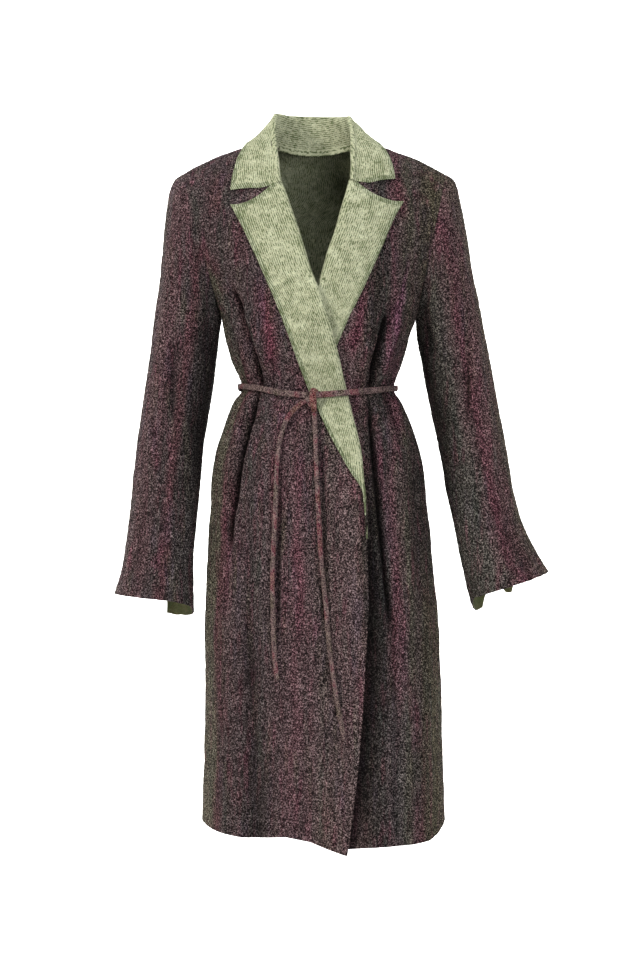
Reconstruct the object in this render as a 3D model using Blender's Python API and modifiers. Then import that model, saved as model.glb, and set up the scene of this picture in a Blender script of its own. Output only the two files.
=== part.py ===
"""A knee-length wrap duster coat of double-faced wool tweed, tied with a narrow belt.

The coat keeps the hollow form it has when worn. The origin lies between the shoulders, level
with the neck points. +Z is up, -Y is the front, and -X is the wearer's right. Sizes are in
millimetres and become metres where each mesh is made.
"""

import math

import bmesh
import bpy
import numpy as np
from mathutils import Vector
from mathutils.geometry import convex_hull_2d

MM = 0.001

# Cloth and seams
CLOTH = 2.0            # thickness of the double-faced tweed
TURNED_CLOTH = 1.8     # thickness of collar and lapels, pressed flat
SEAM = 0.5             # space between two pieces at a seam
LAY = 1.0              # space under a layer that lies on another one
CORNERS = 2.5          # 2 would make each body section an ellipse, more makes it squarer

# Neck, shoulders and armholes
NECK_X = -6.0          # middle of the neck
NECK_WIDE = 64.0       # half the width of the neckline
NECK_DEEP = 66.0       # how far the neckline reaches back
SHOULDER_X = 190.0     # neck middle to shoulder point
SHOULDER_Z = -36.0
UNDERARM_Z = -247.0
ARMHOLE_DEPTH = 62.0   # half the armhole's width, front to back
SHOULDER_SHARE = 0.81  # armhole depth to body depth, where both run out at the shoulder seam
SLOPE_START = 62.0     # the shoulder seam falls away from here on
SLOPE_CURVE = 1.6

# Sections above the underarm, from the shoulder seam down. The turn runs round the armhole,
# from 0 degrees at the shoulder point to 180 at the underarm.
YOKE_COLUMNS = ("turn", "front_height", "back_height", "front", "back")
YOKE_SECTIONS = (
    (0, 8, 8, 0, 0),
    (9, 7.8, 8, 12, 12),
    (21, 6, 8, 28, 26),
    (36, -4, 7.5, 47, 46),
    (52, -24, 3, 64, 67),
    (70, -53, -14, 79, 84),
    (90, -92, -48, 93, 97),
    (110, -136, -96, 105, 105),
    (130, -178, -148, 113, 108),
    (150, -213, -198, 117.5, 107),
    (166, -236, -231, 119, 105),
)

# Sections from the underarm to the hem: how far each reaches to the four sides
BODY_COLUMNS = ("height", "right", "left", "front", "back")
BODY_SECTIONS = (
    (-247, 139, 141, 119, 103),
    (-266, 136, 134, 116, 98),
    (-289, 130, 128, 110, 91),
    (-311, 123, 122, 103, 85),
    (-331, 114, 114, 97, 81),
    (-342, 110, 110.5, 94.5, 80),
    (-352, 111.5, 110.5, 94, 80.5),
    (-363, 120.5, 117.5, 97, 86),
    (-382, 129, 128, 106, 97),
    (-406, 137, 138, 113, 107),
    (-436, 147, 147, 120, 116),
    (-472, 153, 154, 125, 120),
    (-512, 155, 157.5, 129, 122),
    (-556, 158, 162, 131, 124),
    (-604, 160, 166, 132, 126),
    (-654, 162, 171, 134, 128),
    (-706, 163, 175, 135, 130),
    (-760, 163, 177, 136, 132),
    (-812, 163, 179, 137, 134),
    (-862, 164, 180, 138, 136),
    (-908, 165, 181.5, 139, 138),
    (-944, 166, 182.5, 139.5, 139),
    (-972, 167, 183, 140, 140),
)
HEM_Z = -972.0
HEM_SHAPING_TOP = -700.0   # below this the sections bend to the hem's own heights

# The hem's height along each piece, by the distance from the middle
HEM_COLUMNS = ("x", "height")
HEM_RIGHT = (
    (-167, -966), (-150, -972), (-105, -978), (-82, -977),
    (-45, -974), (-10, -981), (14, -991), (39, -1000),
)
HEM_LEFT = (
    (-35, -968), (10, -974), (41, -992), (85, -990), (133, -989),
    (157, -986), (172, -979), (183, -968),
)
HEM_BACK = ((-167, -966), (-90, -970), (0, -967), (95, -971), (183, -968))

# Neckline, roll line and front edge of each front
EDGE_COLUMNS = ("height", "x")
EDGE_RIGHT = (
    (8, -70), (-8, -68), (-28, -64), (-45, -60), (-58, -55), (-78, -47),
    (-106, -38), (-142, -26), (-180, -15), (-220, 0), (-260, 13), (-300, 23),
    (-347, 34), (-397, 46), (-436, 54), (-488, 62), (-540, 66.5), (-600, 69),
    (-650, 70), (-701, 68), (-760, 64.5), (-837, 59), (-900, 51), (-972, 41),
)
EDGE_LEFT = (
    (8, 58), (-8, 56), (-28, 53), (-45, 50.5), (-66, 46), (-84, 40.5),
    (-106, 34.5), (-150, 20.5), (-192, 9), (-220, 1), (-260, -10), (-300, -20),
    (-347, -31), (-397, -43), (-436, -49), (-488, -55), (-540, -58), (-650, -59),
    (-760, -55), (-837, -49), (-972, -35),
)
ROLL_TOP_Z = -53.0         # the lapels begin here
ROLL_FOOT_Z = -490.0       # and run out into the front edges here

# Folds and flutes. Each runs down one face, bows sideways on the way and fades at its ends.
FOLD_COLUMNS = ("face", "top_x", "top_z", "foot_x", "foot_z", "bow", "width", "lift")
FOLDS = (
    ("front", -124, -212, -82, -342, -3, 11, -8),
    ("front", -100, -225, -66, -340, -3, 10, 4),
    ("front", -82, -354, -124, -540, -9, 12, -8.5),
    ("front", -60, -352, -86, -560, -6, 13, 5),
    ("front", -52, -420, -48, -800, -4, 11, -2.5),
    ("front", -24, -380, -10, -900, -6, 14, 2.5),
    ("front", 8, -450, 40, -930, -12, 11, -2.5),
    ("front", 112, -215, 74, -342, -3, 11, -8),
    ("front", 122, -240, 92, -342, -4, 9, 6),
    ("front", 75, -354, 98, -880, 4, 14, -11),
    ("front", 58, -352, 66, -720, 4, 10, 3.5),
    ("front", 104, -356, 128, -720, 6, 11, 4.5),
    ("front", -132, -540, -128, -1100, 2, 17, 4.5),
    ("front", -98, -620, -92, -1100, 0, 15, -4),
    ("front", 140, -540, 146, -1100, 2, 15, 4.5),
    ("back", -62, -230, -40, -344, 2, 11, -6),
    ("back", 60, -225, 38, -344, -2, 11, -6),
    ("back", -12, -270, -8, -344, 0, 9, 3.5),
    ("back", -84, -354, -104, -620, -4, 13, -7),
    ("back", -36, -354, -46, -700, -3, 14, 5),
    ("back", 4, -356, 6, -820, 3, 12, -5.5),
    ("back", 44, -354, 56, -690, 3, 13, 5),
    ("back", 86, -354, 106, -640, 4, 13, -7),
    ("back", -124, -560, -122, -1100, 0, 18, 5),
    ("back", -66, -680, -70, -1100, 0, 18, -6),
    ("back", 60, -660, 68, -1100, 0, 18, -6),
    ("back", 122, -580, 130, -1100, 0, 18, 5),
)
FOLD_FADE = 0.22           # share of a fold's length over which it comes and goes

# Sleeves: the outer and inner ends of each section, half its depth and its middle, front to back
SLEEVE_COLUMNS = ("outer_x", "outer_z", "inner_x", "inner_z", "depth", "middle_y")
SLEEVE_RIGHT = (
    (-207, -43.5, -140.5, -252, 63.5, 0),
    (-214, -58, -141.5, -257, 64.5, 0),
    (-218, -80, -142, -262, 65, 0),
    (-221, -112, -143, -269, 64.5, -1),
    (-225, -152, -144, -279, 62, -2),
    (-230, -198, -145.5, -293, 59, -4),
    (-237, -252, -148, -316, 56.5, -7),
    (-245, -312, -153, -351, 54.5, -10),
    (-253, -372, -160, -395, 53, -13),
    (-261, -432, -166.5, -446, 51.5, -17),
    (-267, -490, -171, -501, 50.5, -21),
    (-272, -540, -175.5, -552, 50.5, -25),
    (-277, -580, -179, -592, 52, -28),
    (-284, -612, -179, -624, 55.5, -30),
    (-292.5, -641, -178.5, -650, 60, -31),
)
SLEEVE_LEFT = (
    (196, -43.5, 142.5, -252, 63.5, 0),
    (202.5, -58, 143, -257, 64.5, 0),
    (207, -80, 143.5, -262, 65, 0),
    (213, -112, 144, -269, 64.5, -1),
    (220, -152, 145, -279, 62, -2),
    (228, -198, 147, -293, 59, -4),
    (238.5, -252, 151.5, -318, 56.5, -7),
    (248.5, -308, 158.5, -354, 54.5, -10),
    (259, -366, 167, -398, 53, -13),
    (269.5, -424, 177, -448, 51.5, -17),
    (279.5, -480, 187.5, -504, 50.5, -21),
    (291, -532, 198.5, -556, 51, -25),
    (305, -566, 206.5, -594, 53, -28),
    (320, -592, 213, -622, 56.5, -30),
    (330.5, -610, 221, -643, 60, -31),
)
VENT_LINE = 16             # the vent follows this lengthwise line of the sleeve
VENT_LENGTH = 70.0
VENT_OPEN = 7.0            # half the width of the vent at the cuff
CUFF_SHAPING = 90.0        # length above the cuff over which the sleeve bends to its edge
# How far the cuff's edge drops, by degrees round the sleeve from its outer side over the front
CUFF_COLUMNS = ("turn", "drop")
CUFF_FLAP = ((0, 0), (60, 0), (120, 2), (172, 5), (196, 16), (212, 24), (250, 27), (262, 25))
CUFF_BACK = ((260, 6), (300, 6), (360, 0))

# Lapels: where the outer edge lies at each share of the way down the roll line
LAPEL_COLUMNS = ("share", "x", "height", "sag")
LAPEL_RIGHT = (
    (0.0, -123, -89, 10.5), (0.09, -106, -121, 3), (0.22, -86, -165, 1), (0.40, -62, -220, 0),
    (0.58, -38, -283, 0), (0.74, -14, -350, 0), (0.86, 14, -412, 0), (0.95, 42, -464, 0),
    (1.0, 58, -489, 0),
)
LAPEL_LEFT = (
    (0.0, 121, -84, 9.5), (0.09, 107, -109, 3), (0.22, 88, -154, 1), (0.40, 65, -206, 0),
    (0.58, 39, -261, 0), (0.74, 10, -330, 0), (0.86, -17, -400, 0), (0.95, -40, -456, 0),
    (1.0, -51, -489, 0),
)
# The rolled edge of a lapel: distance out over the front, and height above it
ROLL_COLUMNS = ("out", "lift")
ROLL_PROFILE = ((0.0, -2.0), (-1.8, -1.6), (-3.0, 0.2), (-2.4, 2.6), (0.4, 4.3), (4.5, 4.6))
ROLL_REACH = 3.0           # the roll stands this far beyond the front's own edge
LAPEL_SHARES = (0.14, 0.34, 0.55, 0.76, 0.9, 1.0)
SAG_PLACE = 1.1            # above 1 moves the sag of a lapel's top edge out to its peak

# Overlap: the right front lies on the left front and its lapel
OVERLAP_LIFT = 4.2
OVERLAP_RISE = 30.0        # the right front climbs onto the left one over this width
PLAIN_OVERLAP = 2.0
UNDER_LIFT = -6.0          # the left front is pressed in under the right one
UNDER_REACH = 20.0         # this far beyond the right front's edge
UNDER_FADE = 24.0
UNDER_ROLL = 0.35          # share of the left lapel's roll that is left there

# Collar: roll line and outer edge, from the front end to the centre back. The edge lies on the
# body at its own x and on the section of an armhole turn, below 0 at the back. The seam column
# is the place on the neckline, from 0 at the front end to 1 at the centre back.
COLLAR_COLUMNS = ("seam", "roll_x", "roll_y", "roll_z", "edge_x", "edge_turn")
COLLAR_RIGHT = (
    (0.03, -52.0, -83.5, -49.5, -123, 69),
    (0.12, -57, -73, -31, -119.5, 57),
    (0.24, -61, -55, -7, -113.5, 42),
    (0.36, -63.5, -32, 18, -103, 23),
    (0.48, -64, -6, 42, -94, 1),
    (0.62, -61, 24, 55, -84, -27),
    (0.75, -48, 50, 57, -67, -48),
    (0.88, -28, 66, 58, -38, -63),
    (1.00, -7, 71, 58, -6, -67),
)
COLLAR_LEFT = (
    (0.03, 45.5, -82.5, -46, 108.5, 61),
    (0.12, 49, -72, -27, 105.5, 51),
    (0.24, 50.5, -55, -5, 98.5, 38),
    (0.36, 50, -32, 17, 89.5, 21),
    (0.48, 48, -6, 39, 82, 1),
    (0.62, 45, 24, 51.5, 72, -27),
    (0.75, 33, 50, 55, 55, -48),
    (0.88, 14, 66, 57.5, 26, -63),
)
COLLAR_SHOULDER = 0.45     # where the neckline passes the shoulder seam
COLLAR_STEPS = 2           # grid columns for each section of the collar
COLLAR_END_DIP = 10.0      # how far the collar's front end dips, most at the notch
NOTCH_PLACE = 0.3          # where the notch lies, from the roll line (0) to the edge (1)
COLLAR_LIFT = 4.0          # how far the fall stands off the body at its edge
STAND_SEAM = 1.3           # the stand starts this far off the neckline
STAND_IN = 1.2             # and at its front ends this far inside it
# The rolled top of the collar: distance out from the roll line, and height above it
FOLD_TOP_COLUMNS = ("out", "lift")
FOLD_TOP = ((-2.2, -3.2), (-1.2, -0.6), (1.2, 0.0), (3.4, -2.4))
FALL_SHARES = (0.3, 0.65, 1.0)
FALL_BULGE = 2.5

# Tie belt
BELT_HEIGHT = 9.5
BELT_THICK = 4.8
BELT_CLEAR = 0.9
BELT_ROUTE_COLUMNS = ("x", "height")
BELT_ROUTE = (
    (-113, -343), (-77, -349), (-48, -356), (-13, -360.5), (9, -358.5), (72, -352.5), (114, -346),
)
BELT_BACK_Z = -345.0
BELT_SPACING = 17.0
BELT_ANGLES = 120
BELT_OVER_LAPEL = 2.0      # more space where it crosses the lapel
WAIST_Z = -342.0
# The two turns of the knot: place, half sizes and tilt
KNOT_COLUMNS = ("x", "height", "half_wide", "half_deep", "half_high", "tilt")
KNOT_TURNS = ((-8.0, -357.5, 7.6, 5.6, 6.6, 12), (-5.8, -369.0, 5.0, 5.2, 13.0, 4))
KNOT_LIFT = 13.0           # its middle stands this far off the right front
KNOT_GAP = 0.4
TAIL_WIDTH = 7.0
TAIL_CLEAR = 1.2
TAIL_SPACING = 2.4         # widths from point to point along a tail
TAIL_COLUMNS = ("x", "height")
TAIL_RIGHT = (
    (-12.8, -367), (-17, -368.5), (-23, -371.5), (-31, -378.5), (-40, -390), (-46, -404),
    (-51, -422), (-54, -444), (-56, -470), (-57, -505), (-59, -545), (-61, -584), (-62, -623),
    (-61, -662), (-60, -701), (-58, -735), (-55, -757),
)
TAIL_LEFT = (
    (-5.2, -383.5), (-4, -400), (-3, -425), (-2, -461), (0, -506), (2, -545), (4, -584),
    (8, -623), (12, -662), (15, -701), (20, -740), (27, -784), (33, -812), (37, -828),
)

# Grid sizes
FRONT_ACROSS = 19
BACK_ACROSS = 22
SLEEVE_EVEN_FROM = 5       # from this section on, a sleeve's lengthwise lines lie evenly
LAPEL_STEP = 30.0          # the longest step down a lapel from row to row


def columns(rows, names):
    """The columns of a table as arrays, by name."""
    values = np.array(rows, dtype=float)
    return {name: values[:, i] for i, name in enumerate(names)}


def smooth(share):
    share = min(max(share, 0.0), 1.0)
    return share * share * (3.0 - 2.0 * share)


def mix(first, second, share):
    return first + (second - first) * share


def along(table, key, value, name):
    """The table's value in one column, where another column has the given value."""
    keys = table[key]
    if keys[0] > keys[-1]:
        return float(np.interp(-value, -keys, table[name]))
    return float(np.interp(value, keys, table[name]))


YOKE = columns(YOKE_SECTIONS, YOKE_COLUMNS)
BODY = columns(BODY_SECTIONS, BODY_COLUMNS)
HEMS = {
    "right": columns(HEM_RIGHT, HEM_COLUMNS),
    "left": columns(HEM_LEFT, HEM_COLUMNS),
    "back": columns(HEM_BACK, HEM_COLUMNS),
}
EDGES = {"right": columns(EDGE_RIGHT, EDGE_COLUMNS), "left": columns(EDGE_LEFT, EDGE_COLUMNS)}
YOKE_COUNT = len(YOKE_SECTIONS)
SECTION_COUNT = YOKE_COUNT + len(BODY_SECTIONS)


def armhole(side, turn, face):
    """A point of the armhole's edge: side is -1 on the right, face -1 at the front."""
    share = (1.0 - math.cos(math.radians(turn))) / 2.0
    underarm = BODY["right"][0] if side < 0 else BODY["left"][0]
    x = mix(NECK_X + side * SHOULDER_X, side * underarm, share)
    y = face * ARMHOLE_DEPTH * math.sin(math.radians(turn))
    return Vector((x, y, mix(SHOULDER_Z, UNDERARM_Z, share)))


class Section:
    """One section of the body, at a place between the shoulder seam (0) and the hem."""

    def __init__(self, place, face):
        self.place = place
        self.face = -1 if face == "front" else 1
        first = min(int(place), SECTION_COUNT - 2)
        low, high = self.known(first, face), self.known(first + 1, face)
        share = place - first
        for name in low:
            setattr(self, name, mix(low[name], high[name], share))

    def known(self, index, face):
        if index >= YOKE_COUNT:
            row = index - YOKE_COUNT
            height = BODY["height"][row]
            return {
                "depth": BODY[face][row],
                "right": BODY["right"][row],
                "left": BODY["left"][row],
                "inner_z": height,
                "outer_z": height,
                "outer_right": BODY["right"][row],
                "outer_left": BODY["left"][row],
            }
        turn = YOKE["turn"][index]
        depth = YOKE[face][index]
        values = {"depth": depth, "inner_z": YOKE[face + "_height"][index]}
        for name, side in (("right", -1), ("left", 1)):
            edge = armhole(side, turn, self.face)
            values["outer_z"] = edge.z
            values["outer_" + name] = abs(edge.x)
            share = abs(edge.y) / depth if depth else SHOULDER_SHARE
            values[name] = abs(edge.x) / (1.0 - share**CORNERS) ** (1.0 / CORNERS)
        return values

    def wide(self, x):
        return self.right if x < 0 else self.left

    def angle(self, x):
        """Degrees round the section to x, from the right side (0) over to the left (180)."""
        share = min(abs(x) / self.wide(x), 1.0)
        turn = math.degrees(math.acos(share ** (CORNERS / 2.0)))
        return turn if x < 0 else 180.0 - turn

    def height(self, x):
        outer = abs((-self.outer_right if x < NECK_X else self.outer_left) - NECK_X)
        share = (abs(x - NECK_X) - SLOPE_START) / (outer - SLOPE_START)
        return mix(self.inner_z, self.outer_z, min(max(share, 0.0), 1.0) ** SLOPE_CURVE)

    def at_x(self, x, lift=0.0):
        """The point on the cloth's outer face at x, and the way out from it, without folds."""
        across = min(abs(x) / self.wide(x), 1.0)
        deep = (1.0 - across**CORNERS) ** (1.0 / CORNERS)
        way = Vector(
            (
                math.copysign(across ** (CORNERS - 1.0), x) / self.wide(x),
                self.face * deep ** (CORNERS - 1.0) / max(self.depth, 1.0),
                0.0,
            )
        ).normalized()
        point = Vector((x, self.face * self.depth * deep, self.height(x)))
        return point + way * lift, way

    def at_angle(self, angle, lift=0.0):
        across = math.cos(math.radians(angle))
        x = -math.copysign(abs(across) ** (2.0 / CORNERS), across)
        return self.at_x(x * self.wide(x), lift)


def fold_lift(face, x, z):
    """How far the folds lift the cloth of one face at x and z."""
    lift = 0.0
    for row in FOLDS:
        fold = dict(zip(FOLD_COLUMNS, row))
        share = (z - fold["top_z"]) / (fold["foot_z"] - fold["top_z"])
        if fold["face"] != face or not 0.0 < share < 1.0:
            continue
        middle = mix(fold["top_x"], fold["foot_x"], share)
        middle += fold["bow"] * 4.0 * share * (1.0 - share)
        fade = smooth(share / FOLD_FADE) * smooth((1.0 - share) / FOLD_FADE)
        lift += fold["lift"] * fade * math.exp(-(((x - middle) / fold["width"]) ** 2))
    return lift


def hem_shift(z, x, piece):
    """How far a point near the hem moves down, so that the piece ends at its own hem."""
    share = smooth((HEM_SHAPING_TOP - z) / (HEM_SHAPING_TOP - HEM_Z))
    return (along(HEMS[piece], "x", x, "height") - HEM_Z) * share


def overlap_lift(x, z):
    """How far the right front is lifted to lie on the left front and its lapel."""
    start = along(EDGES["left"], "height", z, "x") - OVERLAP_RISE
    below = smooth((ROLL_FOOT_Z + 10.0 - z) / 60.0)
    return mix(OVERLAP_LIFT, PLAIN_OVERLAP, below) * smooth((x - start) / (OVERLAP_RISE - 4.0))


def cloth_lift(piece, x, z):
    """How far a body piece's outer face stands off the plain sections at x and z."""
    if piece == "back":
        return fold_lift("back", x, z)
    if piece == "right":
        return fold_lift("front", x, z) + overlap_lift(x, z)
    edge = along(EDGES["right"], "height", z, "x") + UNDER_REACH
    clear = smooth((x - edge) / UNDER_FADE)
    return mix(UNDER_LIFT, fold_lift("front", x, z), clear)


def body_point(section, angle, piece):
    """A point of a body piece's outer face, with its folds, its overlap and its hem."""
    point, way = section.at_angle(angle)
    point += way * cloth_lift(piece, point.x, point.z)
    point.z += hem_shift(point.z, point.x, piece)
    return point


def on_front(x, z, piece, lift):
    """The point above a front at x and z, lifted off its cloth, and the way out there."""
    places = np.linspace(0.0, SECTION_COUNT - 1.0, 4 * SECTION_COUNT)
    heights = [Section(place, "front").height(x) for place in places]
    place = float(np.interp(-z, -np.array(heights), places))
    section = Section(place, "front")
    point, way = section.at_x(x)
    point += way * (lift + cloth_lift(piece, x, z))
    point.z += hem_shift(point.z, point.x, piece)
    return point, way


def new_collection(name):
    collection = bpy.data.collections.new(name)
    bpy.context.scene.collection.children.link(collection)
    return collection


def finish_material(name, color, roughness):
    material = bpy.data.materials.new(name)
    material.use_nodes = True
    shader = material.node_tree.nodes["Principled BSDF"]
    shader.inputs["Base Color"].default_value = (*color, 1.0)
    shader.inputs["Roughness"].default_value = roughness
    shader.inputs["Metallic"].default_value = 0.0
    return material


def cloth_piece(name, across, down, surface, thickness, material, joined=False):
    """A wall of cloth: a grid laid on surface(column, row), thickened against its faces' way."""
    grid = bmesh.new()
    bmesh.ops.create_grid(grid, x_segments=across, y_segments=down, size=0.5)
    for vertex in grid.verts:
        column = round((vertex.co.x + 0.5) * across)
        row = round((0.5 - vertex.co.y) * down)
        vertex.co = surface(column, row) * MM
    if joined:
        bmesh.ops.remove_doubles(grid, verts=grid.verts, dist=0.00001)
    mesh = bpy.data.meshes.new(name)
    grid.to_mesh(mesh)
    grid.free()
    mesh.shade_smooth()
    piece = bpy.data.objects.new(name, mesh)
    piece.data.materials.append(material)
    wall = piece.modifiers.new("Cloth", "SOLIDIFY")
    wall.thickness = thickness * MM
    wall.offset = -1.0
    COAT.objects.link(piece)
    return piece


def front_panel(name, piece, material):
    """One front, from its neckline, roll line and front edge to the armhole and side seam."""
    side = -1 if piece == "right" else 1
    sections = [Section(place, "front") for place in range(SECTION_COUNT)]

    def surface(column, row):
        section = sections[row]
        edge_x = along(EDGES[piece], "height", section.inner_z, "x")
        outer_x = section.outer_right if side < 0 else section.outer_left
        angles = section.angle(edge_x), section.angle(side * outer_x)
        share = column / FRONT_ACROSS
        if side < 0:
            share = 1.0 - share
        point = body_point(section, mix(*angles, share), piece)
        at_side = share == 1.0 and row >= YOKE_COUNT
        if row == 0 or at_side:
            point.y -= SEAM / 2.0
        return point

    return cloth_piece(name, FRONT_ACROSS, SECTION_COUNT - 1, surface, CLOTH, material)


def neckline_place(angle):
    """Where a column of the back starts: at the shoulder seam, or at the neckline behind it."""
    places = np.linspace(0.0, 6.0, 121)
    reach = []
    for place in places:
        point = Section(place, "back").at_angle(angle)[0]
        reach.append(((point.x - NECK_X) / NECK_WIDE) ** 2 + (point.y / NECK_DEEP) ** 2)
    if reach[0] >= 1.0:
        return 0.0
    return float(np.interp(1.0, reach, places))


def back_angles():
    """The columns of the back as shares round the section, with one at each neck point."""
    top = Section(0.0, "back")
    neck = [top.angle(NECK_X - NECK_WIDE), top.angle(NECK_X + NECK_WIDE)]
    ends = [top.angle(-top.outer_right), top.angle(top.outer_left)]
    outer = BACK_ACROSS // 4 + 1
    inner = BACK_ACROSS - 2 * outer
    shares = [(angle - ends[0]) / (ends[1] - ends[0]) for angle in neck]
    return np.concatenate(
        (
            np.linspace(0.0, shares[0], outer, endpoint=False),
            np.linspace(shares[0], shares[1], inner, endpoint=False),
            np.linspace(shares[1], 1.0, outer + 1),
        )
    )


def back_panel(name, material):
    """The back, in one piece from side seam to side seam."""
    shares = back_angles()[::-1]
    yoke_end = 7.0
    starts = {}

    def surface(column, row):
        share = shares[column]
        place = float(row)
        if column not in starts:
            top = Section(0.0, "back")
            ends = top.angle(-top.outer_right), top.angle(top.outer_left)
            starts[column] = neckline_place(mix(*ends, share))
        if place < yoke_end:
            place = mix(starts[column], yoke_end, place / yoke_end)
        section = Section(place, "back")
        ends = section.angle(-section.outer_right), section.angle(section.outer_left)
        point = body_point(section, mix(*ends, share), "back")
        at_side = column in (0, BACK_ACROSS) and row >= YOKE_COUNT
        at_shoulder = row == 0 and starts[column] == 0.0
        if at_side or at_shoulder:
            point.y += SEAM / 2.0
        return point

    return cloth_piece(name, BACK_ACROSS, SECTION_COUNT - 1, surface, CLOTH, material)


def sleeve_turns(row):
    """The lengthwise lines of the sleeve at one section, in degrees round it. At the armhole
    they meet the corners of the body's edge, and further down they lie evenly."""
    turns = [*YOKE["turn"], 180.0]
    turns += [360.0 - turn for turn in reversed(turns[1:-1])]
    even = np.linspace(0.0, 360.0, len(turns), endpoint=False)
    return mix(np.array(turns), even, smooth(row / SLEEVE_EVEN_FROM))


def sleeve_point(table, side, row, turn):
    """A point of a sleeve's outer face, before its cuff is shaped. Row 0 is the armhole."""
    around = math.cos(math.radians(turn))
    deep = -math.sin(math.radians(turn))
    if row == 0:
        face = -1 if deep < 0 else 1
        edge = armhole(side, min(turn, 360.0 - turn), face)
        return edge + Vector((side * SEAM, 0.0, 0.0))
    values = {key: table[key][row - 1] for key in SLEEVE_COLUMNS}
    outer = Vector((values["outer_x"], 0.0, values["outer_z"]))
    inner = Vector((values["inner_x"], 0.0, values["inner_z"]))
    point = (outer + inner) / 2.0 + (outer - inner) / 2.0 * around
    point.y = values["middle_y"] + values["depth"] * deep
    return point


def sleeve(name, side, rows, material):
    """A set-in sleeve from the armhole to its flared cuff, with a vent at the back."""
    table = columns(rows, SLEEVE_COLUMNS)
    flap, back = columns(CUFF_FLAP, CUFF_COLUMNS), columns(CUFF_BACK, CUFF_COLUMNS)
    around = len(sleeve_turns(0))

    def surface(column, row):
        line = VENT_LINE - side * column
        turn = sleeve_turns(row)[line % around]
        point = sleeve_point(table, side, row, turn)
        down = (sleeve_point(table, side, len(rows), turn) - point).length
        on_flap = line % around < VENT_LINE or line == VENT_LINE + (side < 0) * around
        share = max(0.0, 1.0 - down / CUFF_SHAPING) ** 2
        point.z -= along(flap if on_flap else back, "turn", turn, "drop") * share
        if line % around == VENT_LINE and down < VENT_LENGTH:
            ahead = sleeve_turns(row)[(line + (-1 if on_flap else 1)) % around]
            way = sleeve_point(table, side, row, ahead) - sleeve_point(table, side, row, turn)
            point += way.normalized() * VENT_OPEN * (1.0 - down / VENT_LENGTH)
        return point

    return cloth_piece(name, around, len(rows), surface, CLOTH, material, joined=True)


def lapel_heights():
    """The rows of a lapel: the body's own sections, so that both bend at the same heights."""
    known = [*YOKE["front_height"], *BODY["height"]]
    marks = [ROLL_TOP_Z, *(z for z in known if ROLL_FOOT_Z < z < ROLL_TOP_Z), ROLL_FOOT_Z]
    heights = [marks[0]]
    for height in marks[1:]:
        if heights[-1] - height > LAPEL_STEP:
            heights.append((heights[-1] + height) / 2.0)
        heights.append(height)
    return heights


def lapel(name, piece, rows, material):
    """A lapel: it starts at the front's edge, rolls over and lies on the front."""
    side = -1 if piece == "right" else 1
    table = columns(rows, LAPEL_COLUMNS)
    roll = columns(ROLL_PROFILE, ROLL_COLUMNS)
    rolled = len(ROLL_PROFILE)
    across = rolled + len(LAPEL_SHARES) - 1
    heights = lapel_heights()

    def surface(column, row):
        if side > 0:
            column = across - column
        height = heights[row]
        share = (height - ROLL_TOP_Z) / (ROLL_FOOT_Z - ROLL_TOP_Z)
        roll_x = along(EDGES[piece], "height", height, "x")
        edge_x = along(table, "share", share, "x")
        edge_z = along(table, "share", share, "height")
        width = abs(edge_x - roll_x)
        flat_lift = LAY + TURNED_CLOTH
        narrow = min(1.0, width / 30.0)
        if piece == "left":
            covered = along(EDGES["right"], "height", height, "x") - roll_x
            narrow *= mix(1.0, UNDER_ROLL, smooth((covered + 12.0) / 14.0))
        if column < rolled:
            out = roll["out"][column] * narrow - SEAM * (column == 0)
            lift = mix(min(roll["lift"][column], flat_lift), roll["lift"][column], narrow)
            across_share = out / max(width, 1.0)
        else:
            across_share = LAPEL_SHARES[column - rolled]
            start = ROLL_PROFILE[-1][0] * narrow / max(width, 1.0)
            across_share = mix(start, 1.0, across_share)
            raised = ROLL_PROFILE[-1][1] - flat_lift
            lift = flat_lift + raised * narrow * (1.0 - across_share) ** 2
        x = mix(roll_x, edge_x, across_share) if column >= rolled else roll_x + side * out
        z = mix(height, edge_z, max(across_share, 0.0))
        place = max(across_share, 0.0) ** SAG_PLACE
        z -= along(table, "share", share, "sag") * 4.0 * place * (1.0 - place)
        return on_front(x, z, piece, lift)[0]

    return cloth_piece(name, across, len(heights) - 1, surface, TURNED_CLOTH, material)


def yoke_point(x, turn):
    """A point of the body at x, on the section of an armhole turn, below 0 at the back."""
    face = "front" if turn >= 0 else "back"
    section = Section(float(np.interp(abs(turn), YOKE["turn"], range(YOKE_COUNT))), face)
    ahead = Section(section.place + 0.5, face)
    point, way = section.at_x(x)
    down = ahead.at_x(x)[0] - point
    across = section.at_x(x + 4.0)[0] - section.at_x(x - 4.0)[0]
    out = across.cross(down).normalized() * (-1.0 if turn >= 0 else 1.0)
    return point, -out if out.dot(Vector((0.0, 0.0, 1.0)) + way) < 0 else out


def neckline_point(share, side):
    """The neckline from the front end of the collar (0) round to the centre back (1)."""
    if share < COLLAR_SHOULDER:
        part = 1.0 - share / COLLAR_SHOULDER
        name = "right" if side < 0 else "left"
        height = mix(EDGES[name]["height"][0], ROLL_TOP_Z, part)
        return on_front(along(EDGES[name], "height", height, "x"), height, name, 0.0)[0]
    part = (share - COLLAR_SHOULDER) / (1.0 - COLLAR_SHOULDER) * math.pi / 2.0
    x = NECK_X + side * NECK_WIDE * math.cos(part)
    y = NECK_DEEP * math.sin(part)
    places = np.linspace(0.0, 6.0, 61)
    reach = [Section(place, "back").at_x(x)[0].y for place in places]
    return Section(float(np.interp(y, reach, places)), "back").at_x(x)[0]


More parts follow.
